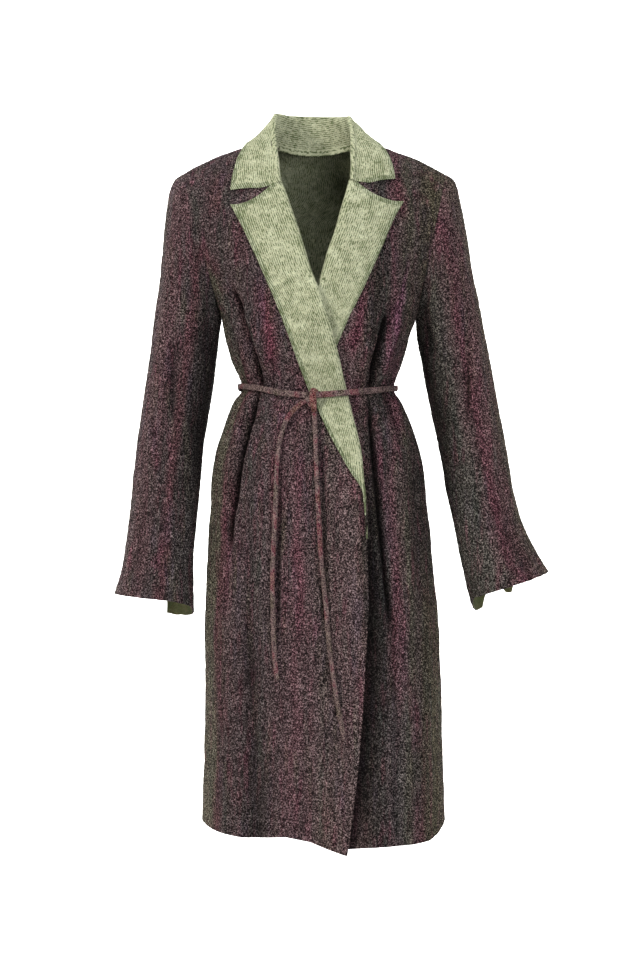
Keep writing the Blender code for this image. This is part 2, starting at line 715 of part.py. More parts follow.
def collar_sections():
    """The collar's sections from its right front end, round the back, to its left front end."""
    right, left = columns(COLLAR_RIGHT, COLLAR_COLUMNS), columns(COLLAR_LEFT, COLLAR_COLUMNS)
    sections = []
    for table, side, order in ((right, -1, 1), (left, 1, -1)):
        rows = []
        for i in range(len(table["seam"])):
            values = {name: table[name][i] for name in COLLAR_COLUMNS}
            edge, way = yoke_point(values["edge_x"], values["edge_turn"])
            rows.append(
                {
                    "seam": values["seam"] if side < 0 else 2.0 - values["seam"],
                    "roll": Vector((values["roll_x"], values["roll_y"], values["roll_z"])),
                    "edge": edge + way * COLLAR_LIFT,
                }
            )
        sections += rows[::order]
    return sections


def collar(name, material):
    """The collar: a stand on the neckline, rolled over into the fall."""
    sections = collar_sections()
    last = len(sections) - 1
    rolls = curve_through([section["roll"] for section in sections], COLLAR_STEPS)
    edges = curve_through([section["edge"] for section in sections], COLLAR_STEPS)
    steps = np.linspace(0.0, last, last * COLLAR_STEPS + 1)
    seams = np.interp(steps, range(last + 1), [section["seam"] for section in sections])
    rows = 1 + len(FOLD_TOP) + len(FALL_SHARES)
    top = [dict(zip(FOLD_TOP_COLUMNS, row)) for row in FOLD_TOP]

    def surface(column, row):
        side = -1 if seams[column] <= 1.0 else 1
        share = 1.0 - abs(1.0 - float(seams[column]))
        roll, edge = rolls[column], edges[column]
        turn = math.radians(mix(-15.0, 90.0, share))
        out = Vector((side * math.cos(turn), math.sin(turn), 0.0))
        front = smooth(1.0 - share / COLLAR_SHOULDER)
        up = mix(Vector((0.0, 0.0, 1.0)), Vector((0.0, -0.85, 0.53)), front)
        seam = neckline_point(share, side) + up * STAND_SEAM - out * STAND_IN * front
        if row == 0:
            return seam
        turned = [roll + out * place["out"] + up * place["lift"] for place in top]
        if row == 1:
            return mix(seam, turned[0], 0.5) - out * front
        if row <= 1 + len(top):
            return turned[row - 2]
        part = FALL_SHARES[row - 2 - len(top)]
        bulge = FALL_BULGE * 4.0 * part * (1.0 - part)
        slope = min(part / NOTCH_PLACE, (1.0 - part) / (1.0 - NOTCH_PLACE))
        dip = COLLAR_END_DIP * slope * smooth(1.0 - (share - 0.03) / 0.1)
        return mix(turned[-1], edge, part) + (out + up) * bulge * 0.7 - Vector((0.0, 0.0, dip))

    across = len(steps) - 1
    return cloth_piece(name, across, rows, surface, TURNED_CLOTH, material)


def curve_through(points, steps):
    """Points on a smooth curve through the given ones, with some steps from each to the next."""
    ends = [points[0] * 2.0 - points[1], *points, points[-1] * 2.0 - points[-2]]
    found = []
    for i in range(len(points) - 1):
        a, b, c, d = ends[i : i + 4]
        for step in range(steps):
            t = step / steps
            found.append(
                (
                    b * 2.0
                    + (c - a) * t
                    + (a * 2.0 - b * 5.0 + c * 4.0 - d) * t**2
                    + (b * 3.0 - a - c * 3.0 + d) * t**3
                )
                / 2.0
            )
    return [*found, points[-1]]


def spaced(points, spacing):
    """The points of a curve, spread evenly along it."""
    far = np.cumsum([0.0] + [(b - a).length for a, b in zip(points, points[1:])])
    count = round(far[-1] / spacing)
    places = np.linspace(0.0, far[-1], count + 1)
    values = np.array([tuple(point) for point in points])
    return [Vector([float(np.interp(p, far, values[:, i])) for i in range(3)]) for p in places]


def tube(name, points, width, material, flat=0.0):
    """A closed tube along points. Where flat is above 0 it is a band that much higher."""
    data = bpy.data.curves.new(name, "CURVE")
    data.dimensions = "3D"
    data.twist_mode = "Z_UP"
    data.bevel_depth = width / 2.0 * MM
    data.extrude = flat / 2.0 * MM
    data.bevel_resolution = 2
    data.use_fill_caps = True
    line = data.splines.new("POLY")
    line.points.add(len(points) - 1)
    for point, place in zip(line.points, points):
        point.co = (*(place * MM), 1.0)
    piece = bpy.data.objects.new(name, data)
    piece.data.materials.append(material)
    COAT.objects.link(piece)
    return piece


def outer_lift(x, z):
    """How far the outermost layer stands off the plain front at x and z, lapel and roll too."""
    edge = along(EDGES["right"], "height", z, "x")
    if x > edge + ROLL_REACH:
        return cloth_lift("left", x, z)
    table = columns(LAPEL_RIGHT, LAPEL_COLUMNS)
    lapel_edge = float(np.interp(-z, -table["height"], table["x"]))
    share = (z - ROLL_TOP_Z) / (ROLL_FOOT_Z - ROLL_TOP_Z)
    if x < lapel_edge - 1.0 or not 0.0 < share < 1.0:
        return cloth_lift("right", x, z)
    layer = ROLL_PROFILE[-1][1] if x > edge - 8.0 else LAY + TURNED_CLOTH
    return cloth_lift("right", x, z) + layer + BELT_OVER_LAPEL


def on_outside(x, z, clear, reach):
    """The point clear of all the front's layers within reach of x and z."""
    spots = [(x + i * reach / 2.0, z + j * reach / 2.0) for i in range(-2, 3) for j in (-2, 0, 2)]
    lift = max(outer_lift(*spot) for spot in spots)
    plain = cloth_lift("right", x, z)
    return on_front(x, z, "right", lift - plain + clear)[0]


def taut(points):
    """The points of a loop that a tight band would touch, seen from above."""
    hull = convex_hull_2d([(point.x, point.y) for point in points])
    return [points[i] for i in sorted(hull)]


def waist_points(clear):
    """Points that clear everything round the waist, at the belt's middle, from the right side
    over the front and the left side to the back."""
    route = columns(BELT_ROUTE, BELT_ROUTE_COLUMNS)
    heights = [*BODY["height"]]
    points = []
    for angle in np.linspace(0.0, 360.0, BELT_ANGLES, endpoint=False):
        face = "front" if angle < 180.0 else "back"
        turn = angle if angle < 180.0 else 360.0 - angle
        for rim in (-1.0, 0.0, 1.0):
            x = Section(YOKE_COUNT + heights.index(WAIST_Z), face).at_angle(turn)[0].x
            z = float(np.interp(x, route["x"], route["height"])) if face == "front" else BELT_BACK_Z
            side_z = z + rim * BELT_HEIGHT / 2.0
            row = float(np.interp(-side_z, -BODY["height"], range(len(heights))))
            point, way = Section(YOKE_COUNT + row, face).at_angle(turn)
            near = [point.x + step for step in (-7.0, 0.0, 7.0)]
            if face == "front":
                lift = max(outer_lift(spot, point.z) for spot in near)
            else:
                lift = max(cloth_lift("back", spot, point.z) for spot in near)
            point += way * (lift + clear)
            point.z = z
            points.append(point)
    return points


def belt(name, material):
    """The tie belt: a narrow band of cloth round the waist, from one side of the knot round
    to the other."""
    loop = taut(waist_points(BELT_THICK / 2.0 + BELT_CLEAR))
    front = [i for i, point in enumerate(loop) if point.y < 0]
    knot_x, reach = KNOT_TURNS[0][0], KNOT_TURNS[0][2] + KNOT_GAP
    start = next(i for i in front if loop[i].x > knot_x)
    loop = spaced([*loop[start - 1 :], *loop[:start]], 1.0)
    route = [point for point in loop if abs(point.x - knot_x) > reach or point.y > 0]
    return tube(name, spaced(route, BELT_SPACING), BELT_THICK, material, BELT_HEIGHT - BELT_THICK)


def knot(name, material):
    """The knot: one turn across and one turn down, drawn tight into each other."""
    turns = []
    for row in KNOT_TURNS:
        turn = dict(zip(KNOT_COLUMNS, row))
        ball = bmesh.new()
        bmesh.ops.create_uvsphere(ball, u_segments=14, v_segments=9, radius=1.0)
        sizes = Vector((turn["half_wide"], turn["half_deep"], turn["half_high"]))
        tilt = math.radians(turn["tilt"])
        middle = on_front(turn["x"], turn["height"], "right", KNOT_LIFT)[0]
        for vertex in ball.verts:
            wide, deep, high = vertex.co * sizes
            across = wide * math.cos(tilt) + high * math.sin(tilt)
            up = high * math.cos(tilt) - wide * math.sin(tilt)
            vertex.co = (middle + Vector((across, deep, up))) * MM
        mesh = bpy.data.meshes.new(name)
        ball.to_mesh(mesh)
        ball.free()
        mesh.shade_smooth()
        turns.append(bpy.data.objects.new(name, mesh))
    piece, other = turns
    piece.data.materials.append(material)
    COAT.objects.link(piece)
    CUTTERS.objects.link(other)
    other.name = "knot_turn_down"
    other.hide_render = True
    other.display_type = "WIRE"
    union = piece.modifiers.new("Second turn", "BOOLEAN")
    union.operation = "UNION"
    union.object = other
    return piece


def tail(name, rows, material):
    """One hanging end of the belt, from the knot down the front of the coat."""
    table = columns(rows, TAIL_COLUMNS)
    clear = TAIL_WIDTH / 2.0 + TAIL_CLEAR
    route = [
        on_outside(float(x), float(z), clear, TAIL_WIDTH)
        for x, z in zip(table["x"], table["height"])
    ]
    line = spaced(curve_through(route, 8), TAIL_WIDTH * TAIL_SPACING)
    return tube(name, line, TAIL_WIDTH, material)


# The scene starts empty
for old in list(bpy.data.objects):
    bpy.data.objects.remove(old, do_unlink=True)

COAT = new_collection("duster_coat")
CUTTERS = new_collection("cutters")

TWEED = finish_material("tweed_face", (0.075, 0.045, 0.052), 0.95)
REVERSE = finish_material("green_reverse", (0.42, 0.47, 0.30), 0.95)
TIE = finish_material("tie_belt_cloth", (0.10, 0.055, 0.06), 0.95)

front_panel("front_right", "right", TWEED)
front_panel("front_left", "left", TWEED)
back_panel("back", TWEED)
sleeve("sleeve_right", -1, SLEEVE_RIGHT, TWEED)
sleeve("sleeve_left", 1, SLEEVE_LEFT, TWEED)
lapel("lapel_right", "right", LAPEL_RIGHT, REVERSE)
lapel("lapel_left", "left", LAPEL_LEFT, REVERSE)
collar("collar", REVERSE)
belt("belt", TIE)
knot("belt_knot", TIE)
tail("belt_tail_right", TAIL_RIGHT, TIE)
tail("belt_tail_left", TAIL_LEFT, TIE)
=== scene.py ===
"""The dressed duster coat: double-faced wool tweed with a pale green reverse, tied with its belt.

Every cloth piece lies on the form of its solid, on a finer grid, with the smaller creases, seams and
stitched edges. Lengths in the tables are in millimetres, and +Z is up, -Y the front.
"""

import math

import bpy
import numpy as np
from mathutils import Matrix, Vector
from mathutils.geometry import convex_hull_2d


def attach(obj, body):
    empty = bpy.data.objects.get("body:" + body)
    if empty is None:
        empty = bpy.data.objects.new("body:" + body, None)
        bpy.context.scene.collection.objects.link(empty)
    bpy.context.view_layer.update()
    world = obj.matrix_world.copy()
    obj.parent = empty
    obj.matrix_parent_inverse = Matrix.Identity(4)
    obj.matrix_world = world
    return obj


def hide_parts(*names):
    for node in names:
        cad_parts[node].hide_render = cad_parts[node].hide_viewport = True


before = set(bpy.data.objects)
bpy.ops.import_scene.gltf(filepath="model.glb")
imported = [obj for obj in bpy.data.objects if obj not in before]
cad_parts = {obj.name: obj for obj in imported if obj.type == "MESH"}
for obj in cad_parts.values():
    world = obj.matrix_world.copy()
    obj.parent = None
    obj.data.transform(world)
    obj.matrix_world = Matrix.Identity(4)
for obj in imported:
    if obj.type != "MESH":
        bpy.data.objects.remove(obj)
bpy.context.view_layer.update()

MM = 0.001

# Cloth and seams
CLOTH = 2.0            # thickness of the double-faced tweed
TURNED_CLOTH = 1.8     # thickness of collar and lapels, pressed flat
SEAM = 0.5             # space between two pieces at a seam
LAY = 1.0              # space under a layer that lies on another one
CORNERS = 2.5          # 2 would make each body section an ellipse, more makes it squarer

# Neck, shoulders and armholes
NECK_X = -6.0          # middle of the neck
NECK_WIDE = 64.0       # half the width of the neckline
NECK_DEEP = 66.0       # how far the neckline reaches back
SHOULDER_X = 190.0     # neck middle to shoulder point
SHOULDER_Z = -36.0
UNDERARM_Z = -247.0
ARMHOLE_DEPTH = 62.0   # half the armhole's width, front to back
SHOULDER_SHARE = 0.81  # armhole depth to body depth, where both run out at the shoulder seam
SLOPE_START = 62.0     # the shoulder seam falls away from here on
SLOPE_CURVE = 1.6

# Sections above the underarm, from the shoulder seam down. The turn runs round the armhole,
# from 0 degrees at the shoulder point to 180 at the underarm.
YOKE_COLUMNS = ("turn", "front_height", "back_height", "front", "back")
YOKE_SECTIONS = (
    (0, 8, 8, 0, 0),
    (9, 7.8, 8, 12, 12),
    (21, 6, 8, 28, 26),
    (36, -4, 7.5, 47, 46),
    (52, -24, 3, 64, 67),
    (70, -53, -14, 79, 84),
    (90, -92, -48, 93, 97),
    (110, -136, -96, 105, 105),
    (130, -178, -148, 113, 108),
    (150, -213, -198, 117.5, 107),
    (166, -236, -231, 119, 105),
)

# Sections from the underarm to the hem: how far each reaches to the four sides
BODY_COLUMNS = ("height", "right", "left", "front", "back")
BODY_SECTIONS = (
    (-247, 139, 141, 119, 103),
    (-266, 136, 134, 116, 98),
    (-289, 130, 128, 110, 91),
    (-311, 123, 122, 103, 85),
    (-331, 114, 114, 97, 81),
    (-342, 110, 110.5, 94.5, 80),
    (-352, 111.5, 110.5, 94, 80.5),
    (-363, 120.5, 117.5, 97, 86),
    (-382, 129, 128, 106, 97),
    (-406, 137, 138, 113, 107),
    (-436, 147, 147, 120, 116),
    (-472, 153, 154, 125, 120),
    (-512, 155, 157.5, 129, 122),
    (-556, 158, 162, 131, 124),
    (-604, 160, 166, 132, 126),
    (-654, 162, 171, 134, 128),
    (-706, 163, 175, 135, 130),
    (-760, 163, 177, 136, 132),
    (-812, 163, 179, 137, 134),
    (-862, 164, 180, 138, 136),
    (-908, 165, 181.5, 139, 138),
    (-944, 166, 182.5, 139.5, 139),
    (-972, 167, 183, 140, 140),
)
HEM_Z = -972.0
HEM_SHAPING_TOP = -700.0   # below this the sections bend to the hem's own heights

# The hem's height along each piece, by the distance from the middle
PLACE_COLUMNS = ("x", "height")
HEM_RIGHT = (
    (-167, -966), (-150, -972), (-105, -978), (-82, -977),
    (-45, -974), (-10, -981), (14, -991), (39, -1000),
)
HEM_LEFT = (
    (-35, -968), (10, -974), (41, -992), (85, -990), (133, -989),
    (157, -986), (172, -979), (183, -968),
)
HEM_BACK = ((-167, -966), (-90, -970), (0, -967), (95, -971), (183, -968))

# Neckline, roll line and front edge of each front
EDGE_COLUMNS = ("height", "x")
EDGE_RIGHT = (
    (8, -70), (-8, -68), (-28, -64), (-45, -60), (-58, -55), (-78, -47),
    (-106, -38), (-142, -26), (-180, -15), (-220, 0), (-260, 13), (-300, 23),
    (-347, 34), (-397, 46), (-436, 54), (-488, 62), (-540, 66.5), (-600, 69),
    (-650, 70), (-701, 68), (-760, 64.5), (-837, 59), (-900, 51), (-972, 41),
)
EDGE_LEFT = (
    (8, 58), (-8, 56), (-28, 53), (-45, 50.5), (-66, 46), (-84, 40.5),
    (-106, 34.5), (-150, 20.5), (-192, 9), (-220, 1), (-260, -10), (-300, -20),
    (-347, -31), (-397, -43), (-436, -49), (-488, -55), (-540, -58), (-650, -59),
    (-760, -55), (-837, -49), (-972, -35),
)
ROLL_TOP_Z = -53.0         # the lapels begin here
ROLL_FOOT_Z = -490.0       # and run out into the front edges here

# Folds and flutes. Each runs down one face, bows sideways on the way and fades at its ends.
FOLD_COLUMNS = ("top_x", "top_z", "foot_x", "foot_z", "bow", "width", "lift")
FOLDS = {
    "front": (
        (-124, -212, -82, -342, -3, 11, -8), (-100, -225, -66, -340, -3, 10, 4),
        (-82, -354, -124, -540, -9, 12, -8.5), (-60, -352, -86, -560, -6, 13, 5),
        (-52, -420, -48, -800, -4, 11, -2.5), (-24, -380, -10, -900, -6, 14, 2.5),
        (8, -450, 40, -930, -12, 11, -2.5), (112, -215, 74, -342, -3, 11, -8),
        (122, -240, 92, -342, -4, 9, 6), (75, -354, 98, -880, 4, 14, -11),
        (58, -352, 66, -720, 4, 10, 3.5), (104, -356, 128, -720, 6, 11, 4.5),
        (-132, -540, -128, -1100, 2, 17, 4.5), (-98, -620, -92, -1100, 0, 15, -4),
        (140, -540, 146, -1100, 2, 15, 4.5),
    ),
    "back": (
        (-62, -230, -40, -344, 2, 11, -6), (60, -225, 38, -344, -2, 11, -6),
        (-12, -270, -8, -344, 0, 9, 3.5), (-84, -354, -104, -620, -4, 13, -7),
        (-36, -354, -46, -700, -3, 14, 5), (4, -356, 6, -820, 3, 12, -5.5),
        (44, -354, 56, -690, 3, 13, 5), (86, -354, 106, -640, 4, 13, -7),
        (-124, -560, -122, -1100, 0, 18, 5), (-66, -680, -70, -1100, 0, 18, -6),
        (60, -660, 68, -1100, 0, 18, -6), (122, -580, 130, -1100, 0, 18, 5),
    ),
}
FOLD_FADE = 0.22           # share of a fold's length over which it comes and goes
CREASE_FADE = 0.16
SLEEVE_CREASE_FADE = 0.3

# Sleeves: the outer and inner ends of each section, half its depth and its middle, front to back
SLEEVE_COLUMNS = ("outer_x", "outer_z", "inner_x", "inner_z", "depth", "middle_y")
SLEEVE_RIGHT = (
    (-207, -43.5, -140.5, -252, 63.5, 0),
    (-214, -58, -141.5, -257, 64.5, 0),
    (-218, -80, -142, -262, 65, 0),
    (-221, -112, -143, -269, 64.5, -1),
    (-225, -152, -144, -279, 62, -2),
    (-230, -198, -145.5, -293, 59, -4),
    (-237, -252, -148, -316, 56.5, -7),
    (-245, -312, -153, -351, 54.5, -10),
    (-253, -372, -160, -395, 53, -13),
    (-261, -432, -166.5, -446, 51.5, -17),
    (-267, -490, -171, -501, 50.5, -21),
    (-272, -540, -175.5, -552, 50.5, -25),
    (-277, -580, -179, -592, 52, -28),
    (-284, -612, -179, -624, 55.5, -30),
    (-292.5, -641, -178.5, -650, 60, -31),
)
SLEEVE_LEFT = (
    (196, -43.5, 142.5, -252, 63.5, 0),
    (202.5, -58, 143, -257, 64.5, 0),
    (207, -80, 143.5, -262, 65, 0),
    (213, -112, 144, -269, 64.5, -1),
    (220, -152, 145, -279, 62, -2),
    (228, -198, 147, -293, 59, -4),
    (238.5, -252, 151.5, -318, 56.5, -7),
    (248.5, -308, 158.5, -354, 54.5, -10),
    (259, -366, 167, -398, 53, -13),
    (269.5, -424, 177, -448, 51.5, -17),
    (279.5, -480, 187.5, -504, 50.5, -21),
    (291, -532, 198.5, -556, 51, -25),
    (305, -566, 206.5, -594, 53, -28),
    (320, -592, 213, -622, 56.5, -30),
    (330.5, -610, 221, -643, 60, -31),
)
VENT_LINE = 16             # the vent follows this lengthwise line of the sleeve
VENT_LENGTH = 70.0
VENT_OPEN = 7.0            # half the width of the vent at the cuff
CUFF_SHAPING = 90.0        # length above the cuff over which the sleeve bends to its edge
# How far the cuff's edge drops, by degrees round the sleeve from its outer side over the front
CUFF_COLUMNS = ("turn", "drop")
CUFF_FLAP = ((0, 0), (60, 0), (120, 2), (172, 5), (196, 16), (212, 24), (250, 27), (262, 25))
CUFF_BACK = ((260, 6), (300, 6), (360, 0))

# Lapels: where the outer edge lies at each share of the way down the roll line
LAPEL_COLUMNS = ("share", "x", "height", "sag")
LAPEL_RIGHT = (
    (0.0, -123, -89, 10.5), (0.09, -106, -121, 3), (0.22, -86, -165, 1), (0.40, -62, -220, 0),
    (0.58, -38, -283, 0), (0.74, -14, -350, 0), (0.86, 14, -412, 0), (0.95, 42, -464, 0),
    (1.0, 58, -489, 0),
)
LAPEL_LEFT = (
    (0.0, 121, -84, 9.5), (0.09, 107, -109, 3), (0.22, 88, -154, 1), (0.40, 65, -206, 0),
    (0.58, 39, -261, 0), (0.74, 10, -330, 0), (0.86, -17, -400, 0), (0.95, -40, -456, 0),
    (1.0, -51, -489, 0),
)
# The rolled edge of a lapel: distance out over the front, and height above it. The collar's
# rolled top has the same columns.
ROLL_COLUMNS = ("out", "lift")
ROLL_PROFILE = ((0.0, -2.0), (-1.8, -1.6), (-3.0, 0.2), (-2.4, 2.6), (0.4, 4.3), (4.5, 4.6))
ROLL_REACH = 3.0           # the roll stands this far beyond the front's own edge
LAPEL_SHARES = (0.14, 0.34, 0.55, 0.76, 0.9, 1.0)
SAG_PLACE = 1.1            # above 1 moves the sag of a lapel's top edge out to its peak

# Overlap: the right front lies on the left front and its lapel
OVERLAP_LIFT = 4.2
OVERLAP_RISE = 30.0        # the right front climbs onto the left one over this width
PLAIN_OVERLAP = 2.0
UNDER_LIFT = -6.0          # the left front is pressed in under the right one
UNDER_REACH = 20.0         # this far beyond the right front's edge
UNDER_FADE = 24.0
UNDER_ROLL = 0.35          # share of the left lapel's roll that is left there
UNDER_ROLL_FROM = 12.0     # it gets less from this far before the right front's edge
UNDER_ROLL_OVER = 14.0     # over this width
OVERLAP_EASE = 4.0         # the right front is fully up this far before the left one's edge
PLAIN_FROM = 10.0          # it comes down again from this far above the foot of the roll line
PLAIN_OVER = 60.0          # over this length

# Where something lies over a lapel, its rolled edge is this wide, and it reaches this far past
# its outer edge
ROLL_BAND = 8.0
LAPEL_EDGE_EASE = 1.0

# Collar: roll line and outer edge, from the front end to the centre back. The edge lies on the
# body at its own x and on the section of an armhole turn, below 0 at the back. The seam column
# is the place on the neckline, from 0 at the front end to 1 at the centre back.
COLLAR_COLUMNS = ("seam", "roll_x", "roll_y", "roll_z", "edge_x", "edge_turn")
COLLAR_RIGHT = (
    (0.03, -52.0, -83.5, -49.5, -123, 69),
    (0.12, -57, -73, -31, -119.5, 57),
    (0.24, -61, -55, -7, -113.5, 42),
    (0.36, -63.5, -32, 18, -103, 23),
    (0.48, -64, -6, 42, -94, 1),
    (0.62, -61, 24, 55, -84, -27),
    (0.75, -48, 50, 57, -67, -48),
    (0.88, -28, 66, 58, -38, -63),
    (1.00, -7, 71, 58, -6, -67),
)
COLLAR_LEFT = (
    (0.03, 45.5, -82.5, -46, 108.5, 61),
    (0.12, 49, -72, -27, 105.5, 51),
    (0.24, 50.5, -55, -5, 98.5, 38),
    (0.36, 50, -32, 17, 89.5, 21),
    (0.48, 48, -6, 39, 82, 1),
    (0.62, 45, 24, 51.5, 72, -27),
    (0.75, 33, 50, 55, 55, -48),
    (0.88, 14, 66, 57.5, 26, -63),
)
COLLAR_SHOULDER = 0.45     # where the neckline passes the shoulder seam
COLLAR_STEPS = 2           # grid columns for each section of the collar
COLLAR_TURNS = (-15.0, 90.0)           # where it faces at its front end and at the centre back
COLLAR_FRONT_UP = (0.0, -0.85, 0.53)   # its stand leans forward at its front end
COLLAR_DIP_FROM, COLLAR_DIP_OVER = 0.03, 0.1   # shares of the way round from the front end
COLLAR_END_DIP = 10.0      # how far the collar's front end dips, most at the notch
NOTCH_PLACE = 0.3          # where the notch lies, from the roll line (0) to the edge (1)
COLLAR_LIFT = 4.0          # how far the fall stands off the body at its edge
STAND_SEAM = 1.3           # the stand starts this far off the neckline
STAND_IN = 1.2             # and at its front ends this far inside it
COLLAR_STAND_HIGH = 30.0   # no stitching on the ends within this length of the neckline
# The rolled top of the collar: distance out from the roll line, and height above it
FOLD_TOP = ((-2.2, -3.2), (-1.2, -0.6), (1.2, 0.0), (3.4, -2.4))
FALL_SHARES = (0.3, 0.65, 1.0)
FALL_BULGE = 1.75          # the fall bulges this far, both outwards and up

# Tie belt
BELT_HEIGHT = 9.5
BELT_THICK = 4.8
BELT_CLEAR = 0.9
BELT_ROUTE = (
    (-113, -343), (-77, -349), (-48, -356), (-13, -360.5), (9, -358.5), (72, -352.5), (114, -346),
)
BELT_BACK_Z = -345.0
BELT_ANGLES = 120
BELT_OVER_LAPEL = 2.0      # more space where it crosses the lapel
BELT_NEAR = 7.0            # it lies clear of all that is this near
WAIST_Z = -342.0
KNOT_X = -6.5
KNOT_TURN_X = -8.0         # the middle of the turn that the belt's two ends run into
KNOT_LIFT = 13.0           # the knot's middle stands this far off the right front
TAIL_WIDTH = 7.0
TAIL_CLEAR = 1.2
TAIL_RIGHT = (
    (-12.8, -367), (-17, -368.5), (-23, -371.5), (-31, -378.5), (-40, -390), (-46, -404),
    (-51, -422), (-54, -444), (-56, -470), (-57, -505), (-59, -545), (-61, -584), (-62, -623),
    (-61, -662), (-60, -701), (-58, -735), (-55, -757),
)
TAIL_LEFT = (
    (-5.2, -383.5), (-4, -400), (-3, -425), (-2, -461), (0, -506), (2, -545), (4, -584),
    (8, -623), (12, -662), (15, -701), (20, -740), (27, -784), (33, -812), (37, -828),
)

# Grid sizes
FRONT_ACROSS = 19
BACK_ACROSS = 22
BACK_YOKE_END = 7.0        # the back's upper rows are spread from the neckline to this section
NECK_SEARCH_END = 6.0      # the neckline crosses the back above this section
NECK_PLACES, COLLAR_PLACES = 121, 61   # places on the way there that are looked at
SLEEVE_EVEN_FROM = 5       # from this section on, a sleeve's lengthwise lines lie evenly
LAPEL_STEP = 30.0          # the longest step down a lapel from row to row

# Smaller folds and creases that lie on each piece, with the same columns as the larger ones
CREASES = {
    "right": (
        (-127, -196, -79, -354, 4, 4.4, -10.0), (-138, -212, -91, -354, 3, 5.5, 5.4),
        (-103, -236, -68, -350, 3, 6, 2.6), (-84, -300, -62, -352, 1, 3.5, -2.6),
        (-34, -300, -32, -346, 0, 4.5, 1.7), (-77, -330, -124, -590, -14, 4.4, -11.0),
        (-70, -345, -108, -520, -10, 6, 3.0), (-88, -340, -134, -560, -12, 6.5, 6.0),
        (-54, -480, -57, -700, 0, 3.4, -4.6), (-42, -400, -46, -700, 0, 7, 2.4),
        (3, -392, 10, -700, 2, 3.4, -4.6), (13, -400, 22, -720, 0, 7, 2.4),
        (-30, -366, -32, -470, 0, 4, -2.6), (-98, -500, -104, -800, 3, 8, -2.6),
        (-90, -680, -84, -1080, 0, 17, -3.8), (-16, -380, -14, -620, 0, 12, -2.4),
        (-76, -560, -80, -940, -2, 8, 2.6), (-20, -600, -12, -1000, 2, 9, -2.4),
        (36, -560, 30, -1000, 4, 8, 2.6),
    ),
    "left": (
        (105, -240, 73, -358, -1, 4.4, -10.0), (130, -200, 80, -358, -2, 4.2, 5.4),
        (86, -272, 62, -350, -1, 7, 2.6), (118, -300, 100, -352, 0, 4, -2.4),
        (73, -340, 108, -700, -2, 4.2, -9.0), (81, -344, 117, -700, -2, 5, 3.6),
        (106, -620, 110, -1000, 3, 4.5, -3.4), (118, -600, 124, -980, 3, 9, 2.6),
        (92, -342, 119, -440, 2, 3.6, -7.0), (103, -344, 130, -470, 2, 5, 3.4),
        (55, -350, 60, -440, 0, 4, 2.4), (134, -440, 142, -760, 3, 8, -2.8),
        (152, -600, 154, -1000, 0, 9, 2.4),
    ),
    "back": (
        (-110, -200, -92, -300, 3, 6, -3.6), (-84, -262, -66, -344, 2, 5, 3.0),
        (-30, -290, -26, -344, 0, 5, -2.7), (20, -286, 18, -344, 0, 5, 2.4),
        (84, -258, 64, -344, -2, 5, 3.0), (108, -205, 94, -300, -3, 6, -3.6),
        (-70, -356, -84, -500, -3, 6, -3.3), (-20, -356, -24, -560, -2, 7, -2.7),
        (26, -356, 30, -540, 2, 7, 2.7), (74, -356, 86, -500, 3, 6, -3.3),
        (-96, -600, -98, -960, 2, 10, 2.4), (0, -640, 4, -960, 2, 10, 2.2),
        (94, -620, 98, -960, -2, 10, 2.4),
    ),
}
# Creases of the sleeves: places round them in degrees (0 outer side, 90 front), lengths from the
# armhole, width and lift
SLEEVE_CREASE_COLUMNS = ("top_turn", "top", "foot_turn", "foot", "width", "lift")
SLEEVE_CREASES = {
    "right": (
        (148, 14, 122, 110, 9, -4.8), (128, 10, 104, 90, 8, 3.3),
        (158, 150, 120, 215, 8, -3.6), (140, 168, 96, 236, 9, 3.3),
        (64, 190, 96, 280, 9, -3.0), (150, 250, 110, 310, 8, -3.0),
        (40, 60, 52, 330, 13, 2.7), (84, 120, 78, 420, 13, -2.4),
        (120, 340, 130, 600, 13, 2.4), (60, 430, 48, 610, 12, -3.0),
        (92, 470, 100, 612, 12, 3.3), (220, 60, 240, 300, 12, -3.0),
        (290, 80, 270, 420, 14, 3.0), (320, 300, 330, 560, 12, -2.7),
        (250, 360, 240, 590, 12, 2.7),
    ),
    "left": (
        (150, 12, 124, 112, 9, -5.1), (130, 10, 106, 96, 8, 3.3),
        (160, 140, 124, 214, 8, -3.6), (140, 160, 92, 244, 9, 3.0),
        (58, 200, 92, 286, 9, -3.3), (150, 262, 108, 330, 8, -3.0),
        (44, 80, 54, 350, 13, 2.4), (88, 130, 80, 400, 12, -2.4),
        (124, 350, 128, 600, 13, 2.7), (66, 440, 56, 606, 11, -3.6),
        (96, 470, 104, 606, 11, 3.3), (224, 60, 244, 300, 12, -3.0),
        (288, 90, 272, 410, 14, 3.0), (318, 310, 330, 560, 12, -2.7),
        (248, 350, 242, 590, 12, 2.7),
    ),
}
# Slow unevenness of brushed wool: waves along and across the cloth, in cycles per metre
RUMPLE_COLUMNS = ("across", "down", "start", "height")
RUMPLE = (
    (11.0, 3.1, 0.4, 0.34), (-7.3, 8.9, 1.9, 0.30), (17.9, -6.7, 3.3, 0.22), (23.1, 12.7, 5.2, 0.16),
    (-31.7, 9.3, 0.9, 0.12), (4.3, 19.1, 2.6, 0.14), (38.9, -17.3, 4.4, 0.08),
)
